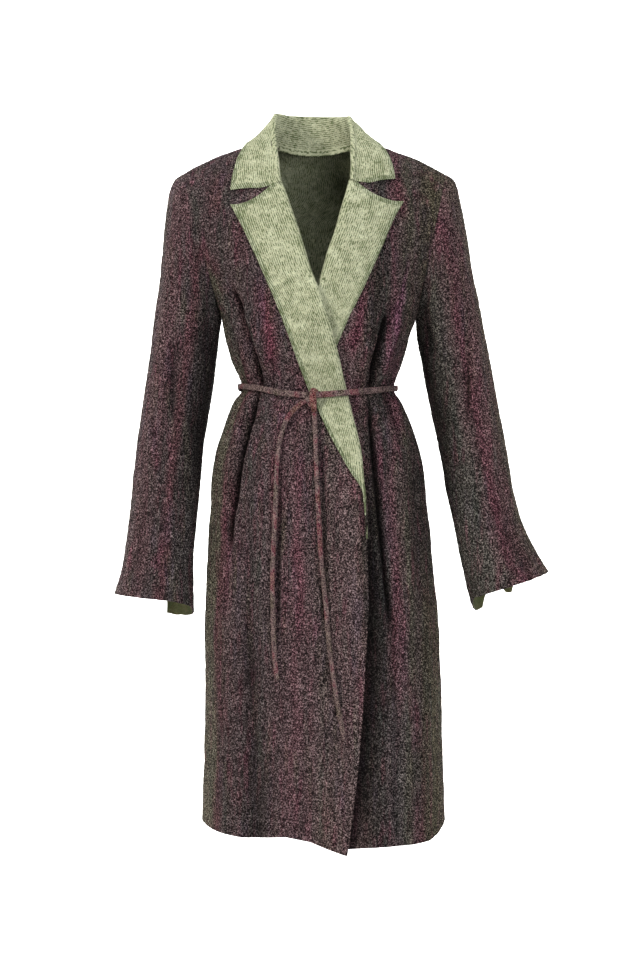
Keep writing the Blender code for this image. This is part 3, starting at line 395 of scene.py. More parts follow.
# Where they start on each piece, so that no two match
RUMPLE_STARTS = {
    "right": 0.0, "left": 0.4, "back": 0.9, "sleeve_right": -0.7, "sleeve_left": 0.7,
    "lapel_right": -0.6, "lapel_left": 0.6, "collar": 0.5,
}
SLEEVE_ROUND = 0.36        # width of a sleeve's cloth all round, in metres
FREE_REACH = 16.0          # creases and unevenness fade over this width to a front's edge
SLEEVE_SEAM_REACH = (12.0, 14.0)       # degrees beside the vent's line, length under the armhole
LAPEL_GRAIN = 0.04         # the ribs of a lapel run in towards its roll by this share
LAPEL_ROLL_WIDE = 30.0     # a narrower lapel has less of a roll
TURNED_RUMPLE = 0.8        # a pressed lapel is less uneven than the fronts
TOP_BAND_FROM = 6.0        # the stitched band along a lapel's top begins this far from its roll
TOP_BAND_OVER = 8.0        # and is there in full after this width
UNDER_COLLAR = 12.0        # the collar lies on the lapel's top over this width
COLLAR_SINK_OVER = 8.0     # the collar's ends sink onto the lapel over this width
EDGE_BAND = 6.5            # width of the pressed band along collar and lapel edges
BAND_LIFT = 0.45
BAND_EASE = 1.5            # the band comes and goes over this width
RIM_DROP = 0.5
STITCH_DEPTH = 0.55
STITCH_WIDTH = 1.1
SEAM_ROLL = 0.3            # how far the cloth turns in at a seam
SEAM_REACH = 3.0
# How far a piece runs on past its edge, and out from the cloth: the sleeve into its seam, the
# lapel's top under the collar, and the collar's stand inside the neckline
SEAM_TUCK, GORGE_TUCK, STAND_TUCK = (2.4, -0.5), (4.0, -2.0), (5.0, 2.2)
FUZZ = 0.7                 # brushed wool is this uneven from place to place
# The seeds of its random numbers
SEEDS = {"front_right": 2, "front_left": 4, "back": 7, "sleeve_right": 10, "sleeve_left": 12}
COLLAR_END_REACH = 9.0     # the collar's roll runs down over the lapel's top by this much
COLLAR_END_STRETCH = 18.0  # and is drawn out over this length
COLLAR_END_COLUMNS = 6     # the way it runs is taken over this many columns
COLLAR_END_SINK = 1.2      # where it sinks onto the lapel
COLLAR_END_OUT = 4.0       # and opens out to the side
COLLAR_OUT_STRETCH = 45.0
FAR = 99.0                 # a distance past all that an edge changes
LEAST, LEAST_NORMAL = 0.01, 1e-9       # lengths that are divided by are at least this long
MERGED = 0.00001           # points this near are made one, in metres
CLOTH_ANGLE, BAND_ANGLE = 55.0, 60.0   # sharper edges than this, in degrees, aren't smoothed

# How the cuffs curl at their edge: how far each side of the vent drops more, by degrees
CUFF_CURL_COLUMNS = ("turn", "flap", "back")
CUFF_CURLS = {
    "right": (
        (0, 0, 0), (120, 0, 0), (160, 4, 0), (180, 8, 0), (192, 7, 0), (212, 1, 0), (360, 0, 0),
    ),
    "left": (
        (0, 0, 0), (168, 0, 0), (184, 6, 0), (206, 4, 0), (227, 1, 0), (234, -17, 0), (262, -19, 0),
        (264, -19, 11), (279, -19, 12), (282, -19, 0), (360, 0, 0),
    ),
}
CUFF_CURL_REACH = 38.0     # length above the cuff that follows
# Painted shade: the cloth is painted darker deep in its folds and creases, where shade falls;
# this deep in a fold it is at its darkest. A sharp crease counts for more than its depth, and a
# broad fold for less.
FOLD_SHADE_WEIGHT, CREASE_SHADE_WEIGHT = 0.6, 2.0
PAINTED_SHADE_DEPTH = 20.0
SLEEVE_PAINTED_SHADE_DEPTH = 8.0
PAINTED_SHADE_DARKEST = 0.1
# How much of the left front lies shaded under the right front's edge, by height
UNDER_SHADE_COLUMNS = ("height", "reach")
UNDER_SHADE = ((8, 3), (-420, 5), (-470, 14), (-560, 24), (-650, 36), (-860, 38), (-1000, 30))
UNDER_SHADE_MOST = 0.92
UNDER_SHADE_SHARE = 0.1    # it is at its most over this share of the width
# Painted shade under the arm: degrees round the sleeve, their spread, and the lengths it comes and
# goes over
ARM_SHADE_TURN, ARM_SHADE_WIDE = 154.0, 36.0
ARM_SHADE_TOP, ARM_SHADE_FOOT, ARM_SHADE_MOST = 60.0, 360.0, 0.84

# Steps of the finer grids between the solids' own lines: across and down
FRONT_STEPS = (8, 8)
BACK_STEPS = (7, 8)
SLEEVE_STEPS = (6, 9)
LAPEL_STEPS = (4, 5)
COLLAR_FINE = (5, 5)

# The finer pieces of the belt, and their sizes as shown. A turned band of cloth is never quite
# even: they waver by so much, over this length, from this place in the wave.
BELT_SHOWN, BELT_SHOWN_THICK = 8.6, 4.3
BELT_WIDE_WAVES = ((0.35, 31.0, 0.0), (0.21, 12.7, 1.3))
BELT_THICK_WAVES = ((0.25, 17.0, 0.4),)
TAIL_SHOWN, TAIL_SHOWN_THICK = 6.8, 5.7
TAIL_WIDE_WAVE, TAIL_THICK_WAVE = (0.3, 23.0), (0.25, 15.0)
TAIL_SPIN_WAVE = (14.0, 61.0)          # how far the ends turn about their length, in degrees
BELT_FINE = 2.2            # from point to point along the belt
BELT_ENDS = 4.0            # it ends this far from the knot's middle, inside the turn down
BAND_AROUND = 20
BAND_CORNERS = 2.7         # 2 would make its section an ellipse, more makes it squarer
BAND_END = 2.2             # its ends are rounded over this length
KNOT_CURVE, TAIL_CURVE = 12, 8         # points from each given one to the next
KNOT_Z = -362.0
# The strands of the knot: place, distance out from its middle, size, and where the flat side
# faces, in degrees from the front towards the top
KNOT_STRAND_COLUMNS = ("x", "height", "out", "wide", "thick", "facing")
TURN_DOWN = (
    (2.0, -360.5, -4.0, 8.0, 4.2, 80), (-1.0, -355.8, -3.0, 8.6, 4.6, 80),
    (-4.0, -352.6, 0.0, 9.0, 5.0, 62), (-6.4, -353.6, 3.6, 9.4, 5.2, 28),
    (-7.2, -358.5, 5.6, 10.2, 5.4, 8), (-7.0, -365.0, 6.0, 10.4, 5.4, 0),
    (-6.2, -371.5, 5.4, 9.2, 5.4, -4), (-5.6, -377.5, 5.6, 7.6, 5.6, -4),
    (-5.2, -384.5, 7.4, 6.8, 5.7, 0),
)
TURN_UNDER = (
    (5.0, -358.4, 0.6, 9.4, 4.4, 0), (-1.0, -359.4, 1.0, 9.0, 4.4, 0),
    (-7.0, -361.6, 1.2, 8.4, 4.6, 0), (-12.0, -364.6, 0.8, 7.6, 4.8, -6),
    (-17.0, -368.6, 0.4, 7.0, 5.4, -8),
)
TURN_FOLD = (
    (-6.5, -361.0, 2.0, 5.0, 4.0, 0), (-10.6, -366.5, 3.2, 5.6, 4.2, 0),
    (-11.6, -372.0, 3.4, 5.8, 4.2, 0), (-8.4, -377.0, 3.0, 5.0, 4.0, 0),
)

# The right lapel runs on down the front's edge as a thin turned line
TURNED_EDGE_FOOT = -560.0
TURNED_EDGE_WIDE = (0.4, 0.8)          # at its foot and at the lapel's
TURNED_EDGE_ROWS = 5

# Stripes of the cloth, seen at skirt level: x across a front, or degrees round a sleeve, and
# colour. The cloth is woven in soft bands of plum, charcoal, olive and burgundy. The near-black
# bands from x 70 to 90 are partly painted shade, where the left front lies under the right
# front's edge, and the dark bands from 84 to 140 degrees round the right sleeve are partly
# painted shade on its inner side.
STRIPE_LEVEL = -700.0
FRONT_STRIPES = (
    (-163, "#76745f"), (-146, "#6a6654"), (-139, "#64363f"), (-126, "#5b474a"), (-108, "#513f44"),
    (-92, "#4b3b40"), (-78, "#57454a"), (-66, "#5d484c"), (-46, "#63474e"), (-30, "#704852"),
    (-12, "#6b5357"), (10, "#655452"), (30, "#695254"), (54, "#7f6668"), (66, "#5c4746"),
    (70, "#2a2120"), (80, "#2b2423"), (90, "#333433"), (100, "#5c3f46"), (108, "#6f4450"),
    (118, "#5d4a4a"), (128, "#5a5648"), (140, "#584a48"), (152, "#524b3a"), (164, "#565138"),
    (177, "#57503e"),
)
SLEEVE_STRIPES_RIGHT = (
    (0, "#5f5343"), (24, "#69565a"), (44, "#6b5054"), (62, "#64444b"), (84, "#4c3f42"),
    (100, "#63343f"), (116, "#474040"), (140, "#504c4c"), (165, "#564e4c"), (200, "#544a4a"),
    (240, "#5c4a4c"), (290, "#565049"), (330, "#6a5456"), (360, "#5f5343"),
)
SLEEVE_STRIPES_LEFT = (
    (0, "#59513e"), (20, "#5f5343"), (38, "#5e4a46"), (58, "#6d4a50"), (76, "#703a4a"),
    (92, "#624b4d"), (112, "#52504a"), (135, "#55544e"), (165, "#5a5650"), (200, "#544c4a"),
    (240, "#5c4a4c"), (290, "#565049"), (330, "#5f4a4e"), (360, "#59513e"),
)

# Streaks in the bands: colour, streaks per metre, where their noise starts and how much shows
STREAK_COLUMNS = ("colour", "scale", "low", "amount", "start")
TWEED_STREAKS = (
    ("#7f3350", 80.0, 0.555, 0.55, 3.1),
    ("#2f4038", 60.0, 0.55, 0.55, 7.7),
    ("#6b2f40", 105.0, 0.545, 0.50, 12.4),
    ("#4c3c54", 70.0, 0.57, 0.45, 5.6),
    ("#5f5b42", 75.0, 0.57, 0.40, 9.3),
)
STREAK_SOFTNESS = 0.15

# The streaks that stand out on the body: where each starts and ends, how far it bows to the
# coat's own left, its width and strength. The dark grey ones are partly painted shade, matched to
# shaded places beside the right front's edge, between the belt's ends, on the lower skirt and on
# the left hip.
STREAK_LINE_COLUMNS = (
    "top_x", "top_z", "foot_x", "foot_z", "bow", "width", "amount", "colour",
)
STREAKS_AND_PAINTED_SHADE = {
    "right": (
        (-140, -25, -146, -115, 0, 12, 0.55, "#6c343d"),
        (-118, -95, -100, -190, 0, 10, 0.50, "#6f3f4a"),
        (-87, -185, -64, -350, 7, 9, 0.80, "#86304e"),
        (-144, -150, -114, -345, 6, 10, 0.85, "#4e494a"),
        (-130, -180, -97, -310, 3, 5, 0.60, "#78404c"),
        (-112, -210, -90, -310, 8, 8, 0.70, "#3a3a3b"),
        (-58, -345, -50, -450, 0, 9, 0.55, "#702a44"),
        (-124, -460, -126, -700, 0, 5, 0.70, "#74344a"),
        (-60, -420, -60, -570, 0, 6, 0.65, "#823a4c"),
        (-30, -530, -18, -700, 0, 7, 0.55, "#823a52"),
        (-6, -370, -2, -520, 0, 13, 0.65, "#3f3437"),
        (26, -375, 38, -480, 0, 11, 0.50, "#443a3c"),
        (-80, -610, -80, -800, 0, 18, 0.55, "#463a3d"),
        (-90, -780, -80, -1100, 0, 26, 0.80, "#362c2e"),
        (-28, -820, -24, -1100, 0, 9, 0.50, "#44383a"),
        (8, -870, 16, -1030, 0, 12, 0.40, "#6b5a4c"),
        (-127, -740, -128, -1090, 0, 9, 0.65, "#3e3034"),
        (46, -740, 52, -1090, 0, 8, 0.45, "#4a3e3b"),
    ),
    "left": (
        (112, -35, 122, -120, 0, 8, 0.60, "#733040"),
        (68, -190, 46, -330, 0, 7, 0.75, "#7a2c4a"),
        (135, -130, 84, -340, 5, 3.6, 0.70, "#7c3e64"),
        (60, -320, 50, -410, 0, 7, 0.55, "#72304b"),
        (104, -345, 124, -430, 0, 6, 0.50, "#6e2f47"),
        (84, -370, 94, -530, 0, 4.5, 0.60, "#703a52"),
        (94, -480, 104, -610, 0, 5, 0.50, "#7e586a"),
        (108, -580, 116, -700, 0, 4.5, 0.45, "#742f48"),
        (118, -660, 122, -790, 0, 7, 0.50, "#765062"),
        (130, -750, 136, -870, 0, 6, 0.45, "#703c56"),
        (138, -870, 142, -1040, 0, 7, 0.50, "#70304a"),
        (108, -720, 112, -1060, 0, 13, 0.70, "#434a4b"),
        (94, -550, 100, -690, 0, 7, 0.65, "#3a4447"),
        (132, -370, 166, -670, 0, 22, 0.80, "#372e2e"),
        (86, -760, 88, -1100, 0, 10, 0.75, "#2e2728"),
    ),
    "back": (
        (-96, -60, -84, -330, 5, 9, 0.60, "#74304a"),
        (82, -90, 70, -340, -4, 8, 0.60, "#7a3358"),
        (-22, -160, -18, -420, 0, 10, 0.55, "#3f4041"),
        (34, -420, 48, -760, 0, 9, 0.60, "#7c304c"),
        (-70, -470, -92, -900, 0, 12, 0.60, "#434a4b"),
        (-40, -640, -46, -1000, 0, 8, 0.55, "#7a3a58"),
        (104, -560, 122, -1000, 0, 14, 0.60, "#473c3d"),
    ),
}
STREAK_FADE = 0.35         # they come and go over this share of their length
STREAK_MOST = 0.9
STREAK_LEAST = 0.0001      # so that places without a streak still have a colour
STREAK_GROUND = "#5a484a"

# Bands of the belt's cloth, by the value of their noise: grey-plum to burgundy and rust. The
# knot's front turn falls on a redder stretch.
BELT_BANDS = (
    (0.34, "#4a4038"), (0.43, "#5c4a4c"), (0.51, "#6b5458"), (0.58, "#743246"), (0.66, "#643a36"),
)
KNOT_BANDS = ((0.34, "#4f3c3a"), (0.45, "#6e3b40"), (0.54, "#7d3a3f"), (0.64, "#6a3f36"))

# Wool: hardly any gloss, and a soft glow from the ends of its fibres
WOOL_IOR, WOOL_SPECULAR, SHEEN_ROUGHNESS = 1.45, 0.06, 0.6
FIBRE_HEIGHT = 0.0008      # in metres
BAND_WAVER = 0.09          # how far the tweed's bands waver, as a share of the whole face
# Shades by the value of their noise: the tweed's and the belt's dark ground, the reverse's
# patches and the grain of its brushed surface
TWEED_GROUND = ((0.46, 0.006), (0.71, 0.165))
BELT_GROUND = ((0.38, 0.06), (0.62, 0.55))
REVERSE_PATCHES = ((0.32, "#969a7c"), (0.48, "#a0a386"), (0.66, "#aaae91"))
REVERSE_GRAIN = ((0.36, 0.62), (0.62, 1.0))

# The photograph's camera: level with the coat's middle, far enough back for little perspective
CAMERA_PLACE = (0.003, -3.2, -0.4785)
SENSOR_HEIGHT = 24.0
VIEW_HEIGHT = 1.392        # what the picture's height takes in at the coat, in metres

# Lights: a small softbox from the viewer's left, a large one from the front, and two for the wall
LIGHT_COLUMNS = ("name", "place", "aim", "size", "power", "colour")
LIGHTS = (
    ("key_softbox", (-2.7, -2.6, 1.0), (0.0, 0.0, -0.48), 0.8, 99.0, "#fffaf4"),
    ("front_softbox", (1.5, -3.4, 0.5), (0.0, 0.0, -0.48), 2.4, 99.0, "#fafaff"),
    ("top_softbox", (-0.5, -0.8, 2.3), (0.0, 0.0, -0.3), 1.4, 58.0, "#ffffff"),
    ("wall_washer_left", (-2.6, 1.6, 1.6), (-0.8, 4.4, 0.0), 1.6, 330.0, "#ffffff"),
    ("wall_washer_right", (2.6, 1.6, 1.6), (0.8, 4.4, 0.0), 1.6, 330.0, "#ffffff"),
)
FLOOR_Z = -1.32
BACKDROP_Y = 3.4           # the floor curves up into the backdrop here
BACKDROP_ROUND = 1.2
BACKDROP_TOP = 4.0
STAGE_HALF = 7.0


def columns(rows, names):
    """The columns of a table as arrays, by name."""
    values = np.array(rows, dtype=float)
    return {name: values[:, i] for i, name in enumerate(names)}


def rows_of(rows, names):
    """A table's rows, each with its values by name."""
    return [dict(zip(names, row)) for row in rows]


def smooth(share):
    """A share of the way, eased at both ends."""
    share = np.clip(share, 0.0, 1.0)
    return share * share * (3.0 - 2.0 * share)


def mix(first, second, share):
    """The value at a share of the way from the first to the second."""
    return first + (second - first) * share


def along(table, key, value, name):
    """The table's value in one column, where another column has the given value."""
    keys = table[key]
    if keys[0] > keys[-1]:
        return np.interp(-value, -keys, table[name])
    return np.interp(value, keys, table[name])


YOKE = columns(YOKE_SECTIONS, YOKE_COLUMNS)
BODY = columns(BODY_SECTIONS, BODY_COLUMNS)
HEMS = {
    "right": columns(HEM_RIGHT, PLACE_COLUMNS),
    "left": columns(HEM_LEFT, PLACE_COLUMNS),
    "back": columns(HEM_BACK, PLACE_COLUMNS),
}
EDGES = {"right": columns(EDGE_RIGHT, EDGE_COLUMNS), "left": columns(EDGE_LEFT, EDGE_COLUMNS)}
YOKE_COUNT = len(YOKE_SECTIONS)
SECTION_COUNT = YOKE_COUNT + len(BODY_SECTIONS)


def armhole(side, turn, face):
    """A point of the armhole's edge: side is -1 on the right, face -1 at the front."""
    share = (1.0 - math.cos(math.radians(turn))) / 2.0
    underarm = BODY["right"][0] if side < 0 else BODY["left"][0]
    x = mix(NECK_X + side * SHOULDER_X, side * underarm, share)
    y = face * ARMHOLE_DEPTH * math.sin(math.radians(turn))
    return Vector((x, y, mix(SHOULDER_Z, UNDERARM_Z, share)))


class Section:
    """One section of the body, at a place between the shoulder seam (0) and the hem."""

    def __init__(self, place, face):
        self.place = place
        self.face = -1 if face == "front" else 1
        first = min(int(place), SECTION_COUNT - 2)
        low, high = self.known(first, face), self.known(first + 1, face)
        share = place - first
        for name in low:
            setattr(self, name, mix(low[name], high[name], share))

    def known(self, index, face):
        if index >= YOKE_COUNT:
            row = index - YOKE_COUNT
            height = BODY["height"][row]
            return {
                "depth": BODY[face][row],
                "right": BODY["right"][row],
                "left": BODY["left"][row],
                "inner_z": height,
                "outer_z": height,
                "outer_right": BODY["right"][row],
                "outer_left": BODY["left"][row],
            }
        turn = YOKE["turn"][index]
        depth = YOKE[face][index]
        values = {"depth": depth, "inner_z": YOKE[face + "_height"][index]}
        for name, side in (("right", -1), ("left", 1)):
            edge = armhole(side, turn, self.face)
            values["outer_z"] = edge.z
            values["outer_" + name] = abs(edge.x)
            share = abs(edge.y) / depth if depth else SHOULDER_SHARE
            values[name] = abs(edge.x) / (1.0 - share**CORNERS) ** (1.0 / CORNERS)
        return values

    def wide(self, x):
        return self.right if x < 0 else self.left

    def angle(self, x):
        """Degrees round the section to x, from the right side (0) over to the left (180)."""
        share = min(abs(x) / self.wide(x), 1.0)
        turn = math.degrees(math.acos(share ** (CORNERS / 2.0)))
        return turn if x < 0 else 180.0 - turn

    def ends(self):
        """The angles of its two outer ends, right and left."""
        return self.angle(-self.outer_right), self.angle(self.outer_left)

    def height(self, x):
        outer = abs((-self.outer_right if x < NECK_X else self.outer_left) - NECK_X)
        share = (abs(x - NECK_X) - SLOPE_START) / (outer - SLOPE_START)
        return mix(self.inner_z, self.outer_z, min(max(share, 0.0), 1.0) ** SLOPE_CURVE)

    def at_x(self, x, lift=0.0):
        """The point on the cloth's outer face at x, and the way out from it, without folds."""
        across = min(abs(x) / self.wide(x), 1.0)
        deep = (1.0 - across**CORNERS) ** (1.0 / CORNERS)
        way = Vector(
            (
                math.copysign(across ** (CORNERS - 1.0), x) / self.wide(x),
                self.face * deep ** (CORNERS - 1.0) / max(self.depth, 1.0),
                0.0,
            )
        ).normalized()
        point = Vector((x, self.face * self.depth * deep, self.height(x)))
        return point + way * lift, way

    def at_angle(self, angle, lift=0.0):
        across = math.cos(math.radians(angle))
        x = -math.copysign(abs(across) ** (2.0 / CORNERS), across)
        return self.at_x(x * self.wide(x), lift)


def shown(share, away, fade):
    """How much of a drawn line there is: 1 on it, less beside it and at its ends. Share is the
    way along it, and away the distance from it in its own widths."""
    return smooth(share / fade) * smooth((1.0 - share) / fade) * np.exp(-(away**2))


def line_share(line, x, z, fade):
    """How much there is, at x and z, of a line that bows on its way down a face."""
    share = (z - line["top_z"]) / (line["foot_z"] - line["top_z"])
    middle = mix(line["top_x"], line["foot_x"], share) + line["bow"] * 4.0 * share * (1.0 - share)
    return shown(share, (x - middle) / line["width"], fade)


def folds_lift(folds, face, x, z, fade=FOLD_FADE):
    """How far a table's folds lift the cloth of one face at x and z."""
    lift = 0.0 * x
    for fold in rows_of(folds[face], FOLD_COLUMNS):
        lift = lift + fold["lift"] * line_share(fold, x, z, fade)
    return lift


def hem_shift(z, x, piece):
    """How far a point near the hem moves, so that the piece ends at its own hem."""
    share = smooth((HEM_SHAPING_TOP - z) / (HEM_SHAPING_TOP - HEM_Z))
    return (along(HEMS[piece], "x", x, "height") - HEM_Z) * share


def overlap_lift(x, z):
    """How far the right front is lifted to lie on the left front and its lapel."""
    start = along(EDGES["left"], "height", z, "x") - OVERLAP_RISE
    below = smooth((ROLL_FOOT_Z + PLAIN_FROM - z) / PLAIN_OVER)
    risen = smooth((x - start) / (OVERLAP_RISE - OVERLAP_EASE))
    return mix(OVERLAP_LIFT, PLAIN_OVERLAP, below) * risen


def cloth_lift(piece, x, z):
    """How far a body piece's outer face stands off the plain sections at x and z."""
    if piece == "back":
        return folds_lift(FOLDS, "back", x, z)
    if piece == "right":
        return folds_lift(FOLDS, "front", x, z) + overlap_lift(x, z)
    edge = along(EDGES["right"], "height", z, "x") + UNDER_REACH
    clear = smooth((x - edge) / UNDER_FADE)
    return mix(UNDER_LIFT, folds_lift(FOLDS, "front", x, z), clear)


def on_front(x, z, piece, lift):
    """The point above a front at x and z, lifted off its cloth, and the way out there."""
    places = np.linspace(0.0, SECTION_COUNT - 1.0, 4 * SECTION_COUNT)
    heights = [Section(place, "front").height(x) for place in places]
    place = float(np.interp(-z, -np.array(heights), places))
    section = Section(place, "front")
    point, way = section.at_x(x)
    point += way * (lift + cloth_lift(piece, x, z))
    point.z += hem_shift(point.z, point.x, piece)
    return point, way


def neckline_place(angle):
    """Where a column of the back starts: at the shoulder seam, or at the neckline behind it."""
    places = np.linspace(0.0, NECK_SEARCH_END, NECK_PLACES)
    reach = []
    for place in places:
        point = Section(place, "back").at_angle(angle)[0]
        reach.append(((point.x - NECK_X) / NECK_WIDE) ** 2 + (point.y / NECK_DEEP) ** 2)
    if reach[0] >= 1.0:
        return 0.0
    return float(np.interp(1.0, reach, places))


def back_angles():
    """The columns of the back as shares round the section, with one at each neck point."""
    top = Section(0.0, "back")
    neck = [top.angle(NECK_X - NECK_WIDE), top.angle(NECK_X + NECK_WIDE)]
    ends = top.ends()
    outer = BACK_ACROSS // 4 + 1
    inner = BACK_ACROSS - 2 * outer
    shares = [(angle - ends[0]) / (ends[1] - ends[0]) for angle in neck]
    return np.concatenate(
        (
            np.linspace(0.0, shares[0], outer, endpoint=False),
            np.linspace(shares[0], shares[1], inner, endpoint=False),
            np.linspace(shares[1], 1.0, outer + 1),
        )
    )


def sleeve_turns(row):
    """The lengthwise lines of the sleeve at one section, in degrees round it. At the armhole
    they meet the corners of the body's edge, and further down they lie evenly."""
    turns = [*YOKE["turn"], 180.0]
    turns += [360.0 - turn for turn in reversed(turns[1:-1])]
    even = np.linspace(0.0, 360.0, len(turns), endpoint=False)
    return mix(np.array(turns), even, smooth(row / SLEEVE_EVEN_FROM))


def sleeve_point(table, side, row, turn):
    """A point of a sleeve's outer face, before its cuff is shaped. Row 0 is the armhole."""
    around = math.cos(math.radians(turn))
    deep = -math.sin(math.radians(turn))
    if row == 0:
        face = -1 if deep < 0 else 1
        edge = armhole(side, min(turn, 360.0 - turn), face)
        return edge + Vector((side * SEAM, 0.0, 0.0))
    values = {key: table[key][row - 1] for key in SLEEVE_COLUMNS}
    outer = Vector((values["outer_x"], 0.0, values["outer_z"]))
    inner = Vector((values["inner_x"], 0.0, values["inner_z"]))
    point = (outer + inner) / 2.0 + (outer - inner) / 2.0 * around
    point.y = values["middle_y"] + values["depth"] * deep
    return point


def lapel_heights():
    """The rows of a lapel: the body's own sections, so that both bend at the same heights."""
    known = [*YOKE["front_height"], *BODY["height"]]
    marks = [ROLL_TOP_Z, *(z for z in known if ROLL_FOOT_Z < z < ROLL_TOP_Z), ROLL_FOOT_Z]
    heights = [marks[0]]
    for height in marks[1:]:
        if heights[-1] - height > LAPEL_STEP:
            heights.append((heights[-1] + height) / 2.0)
        heights.append(height)
    return heights


def yoke_point(x, turn):
    """A point of the body at x, on the section of an armhole turn, below 0 at the back."""
    face = "front" if turn >= 0 else "back"
    section = Section(float(np.interp(abs(turn), YOKE["turn"], range(YOKE_COUNT))), face)
    ahead = Section(section.place + 0.5, face)
    point, way = section.at_x(x)
    down = ahead.at_x(x)[0] - point
    across = section.at_x(x + 4.0)[0] - section.at_x(x - 4.0)[0]
    out = across.cross(down).normalized() * (-1.0 if turn >= 0 else 1.0)
    return point, -out if out.dot(Vector((0.0, 0.0, 1.0)) + way) < 0 else out


def neckline_point(share, side):
    """The neckline from the front end of the collar (0) round to the centre back (1)."""
    if share < COLLAR_SHOULDER:
        part = 1.0 - share / COLLAR_SHOULDER
        name = "right" if side < 0 else "left"
        height = mix(EDGES[name]["height"][0], ROLL_TOP_Z, part)
        return on_front(along(EDGES[name], "height", height, "x"), height, name, 0.0)[0]
    part = (share - COLLAR_SHOULDER) / (1.0 - COLLAR_SHOULDER) * math.pi / 2.0
    x = NECK_X + side * NECK_WIDE * math.cos(part)
    y = NECK_DEEP * math.sin(part)
    places = np.linspace(0.0, NECK_SEARCH_END, COLLAR_PLACES)
    reach = [Section(place, "back").at_x(x)[0].y for place in places]
    return Section(float(np.interp(y, reach, places)), "back").at_x(x)[0]


def collar_sections():
    """The collar's sections from its right front end, round the back, to its left front end."""
    right, left = columns(COLLAR_RIGHT, COLLAR_COLUMNS), columns(COLLAR_LEFT, COLLAR_COLUMNS)
    sections = []
    for table, side, order in ((right, -1, 1), (left, 1, -1)):
        rows = []
        for i in range(len(table["seam"])):
            values = {name: table[name][i] for name in COLLAR_COLUMNS}
            edge, way = yoke_point(values["edge_x"], values["edge_turn"])
            rows.append(
                {
                    "seam": values["seam"] if side < 0 else 2.0 - values["seam"],
                    "roll": Vector((values["roll_x"], values["roll_y"], values["roll_z"])),
                    "edge": edge + way * COLLAR_LIFT,
                }
            )
        sections += rows[::order]
    return sections


def curve_through(points, steps):
    """Points on a smooth curve through the given ones, with some steps from each to the next."""
    ends = [points[0] * 2.0 - points[1], *points, points[-1] * 2.0 - points[-2]]
    found = []
    for i in range(len(points) - 1):
        a, b, c, d = ends[i : i + 4]
        for step in range(steps):
            t = step / steps
            found.append(
                (
                    b * 2.0
                    + (c - a) * t
                    + (a * 2.0 - b * 5.0 + c * 4.0 - d) * t**2
                    + (b * 3.0 - a - c * 3.0 + d) * t**3
                )
                / 2.0
            )
    return [*found, points[-1]]


def spaced(points, spacing):
    """The points of a curve, spread evenly along it."""
    far = np.cumsum([0.0] + [(b - a).length for a, b in zip(points, points[1:])])
    count = round(far[-1] / spacing)
    places = np.linspace(0.0, far[-1], count + 1)
    values = np.array([tuple(point) for point in points])
    return [Vector([float(np.interp(p, far, values[:, i])) for i in range(3)]) for p in places]


def outer_lift(x, z):
    """How far the outermost layer stands off the plain front at x and z, lapel and roll too."""
    edge = along(EDGES["right"], "height", z, "x")
    if x > edge + ROLL_REACH:
        return cloth_lift("left", x, z)
    table = columns(LAPEL_RIGHT, LAPEL_COLUMNS)
    lapel_edge = float(np.interp(-z, -table["height"], table["x"]))
    share = (z - ROLL_TOP_Z) / (ROLL_FOOT_Z - ROLL_TOP_Z)
    if x < lapel_edge - LAPEL_EDGE_EASE or not 0.0 < share < 1.0:
        return cloth_lift("right", x, z)
    layer = ROLL_PROFILE[-1][1] if x > edge - ROLL_BAND else LAY + TURNED_CLOTH
    return cloth_lift("right", x, z) + layer + BELT_OVER_LAPEL


def on_outside(x, z, clear, reach):
    """The point clear of all the front's layers within reach of x and z."""
    spots = [(x + i * reach / 2.0, z + j * reach / 2.0) for i in range(-2, 3) for j in (-2, 0, 2)]
    lift = max(outer_lift(*spot) for spot in spots)
    plain = cloth_lift("right", x, z)
    return on_front(x, z, "right", lift - plain + clear)[0]


def taut(points):
    """The points of a loop that a tight band would touch, seen from above."""
    hull = convex_hull_2d([(point.x, point.y) for point in points])
    return [points[i] for i in sorted(hull)]


def waist_points(clear):
    """Points that clear everything round the waist, at the belt's middle, from the right side
    over the front and the left side to the back."""
    route = columns(BELT_ROUTE, PLACE_COLUMNS)
    heights = [*BODY["height"]]
    points = []
    for angle in np.linspace(0.0, 360.0, BELT_ANGLES, endpoint=False):
        face = "front" if angle < 180.0 else "back"
        turn = angle if angle < 180.0 else 360.0 - angle
        for rim in (-1.0, 0.0, 1.0):
            x = Section(YOKE_COUNT + heights.index(WAIST_Z), face).at_angle(turn)[0].x
            z = float(np.interp(x, route["x"], route["height"])) if face == "front" else BELT_BACK_Z
            side_z = z + rim * BELT_HEIGHT / 2.0
            row = float(np.interp(-side_z, -BODY["height"], range(len(heights))))
            point, way = Section(YOKE_COUNT + row, face).at_angle(turn)
            near = [point.x + step for step in (-BELT_NEAR, 0.0, BELT_NEAR)]
            if face == "front":
                lift = max(outer_lift(spot, point.z) for spot in near)
            else:
                lift = max(cloth_lift("back", spot, point.z) for spot in near)
            point += way * (lift + clear)
            point.z = z
            points.append(point)
    return points


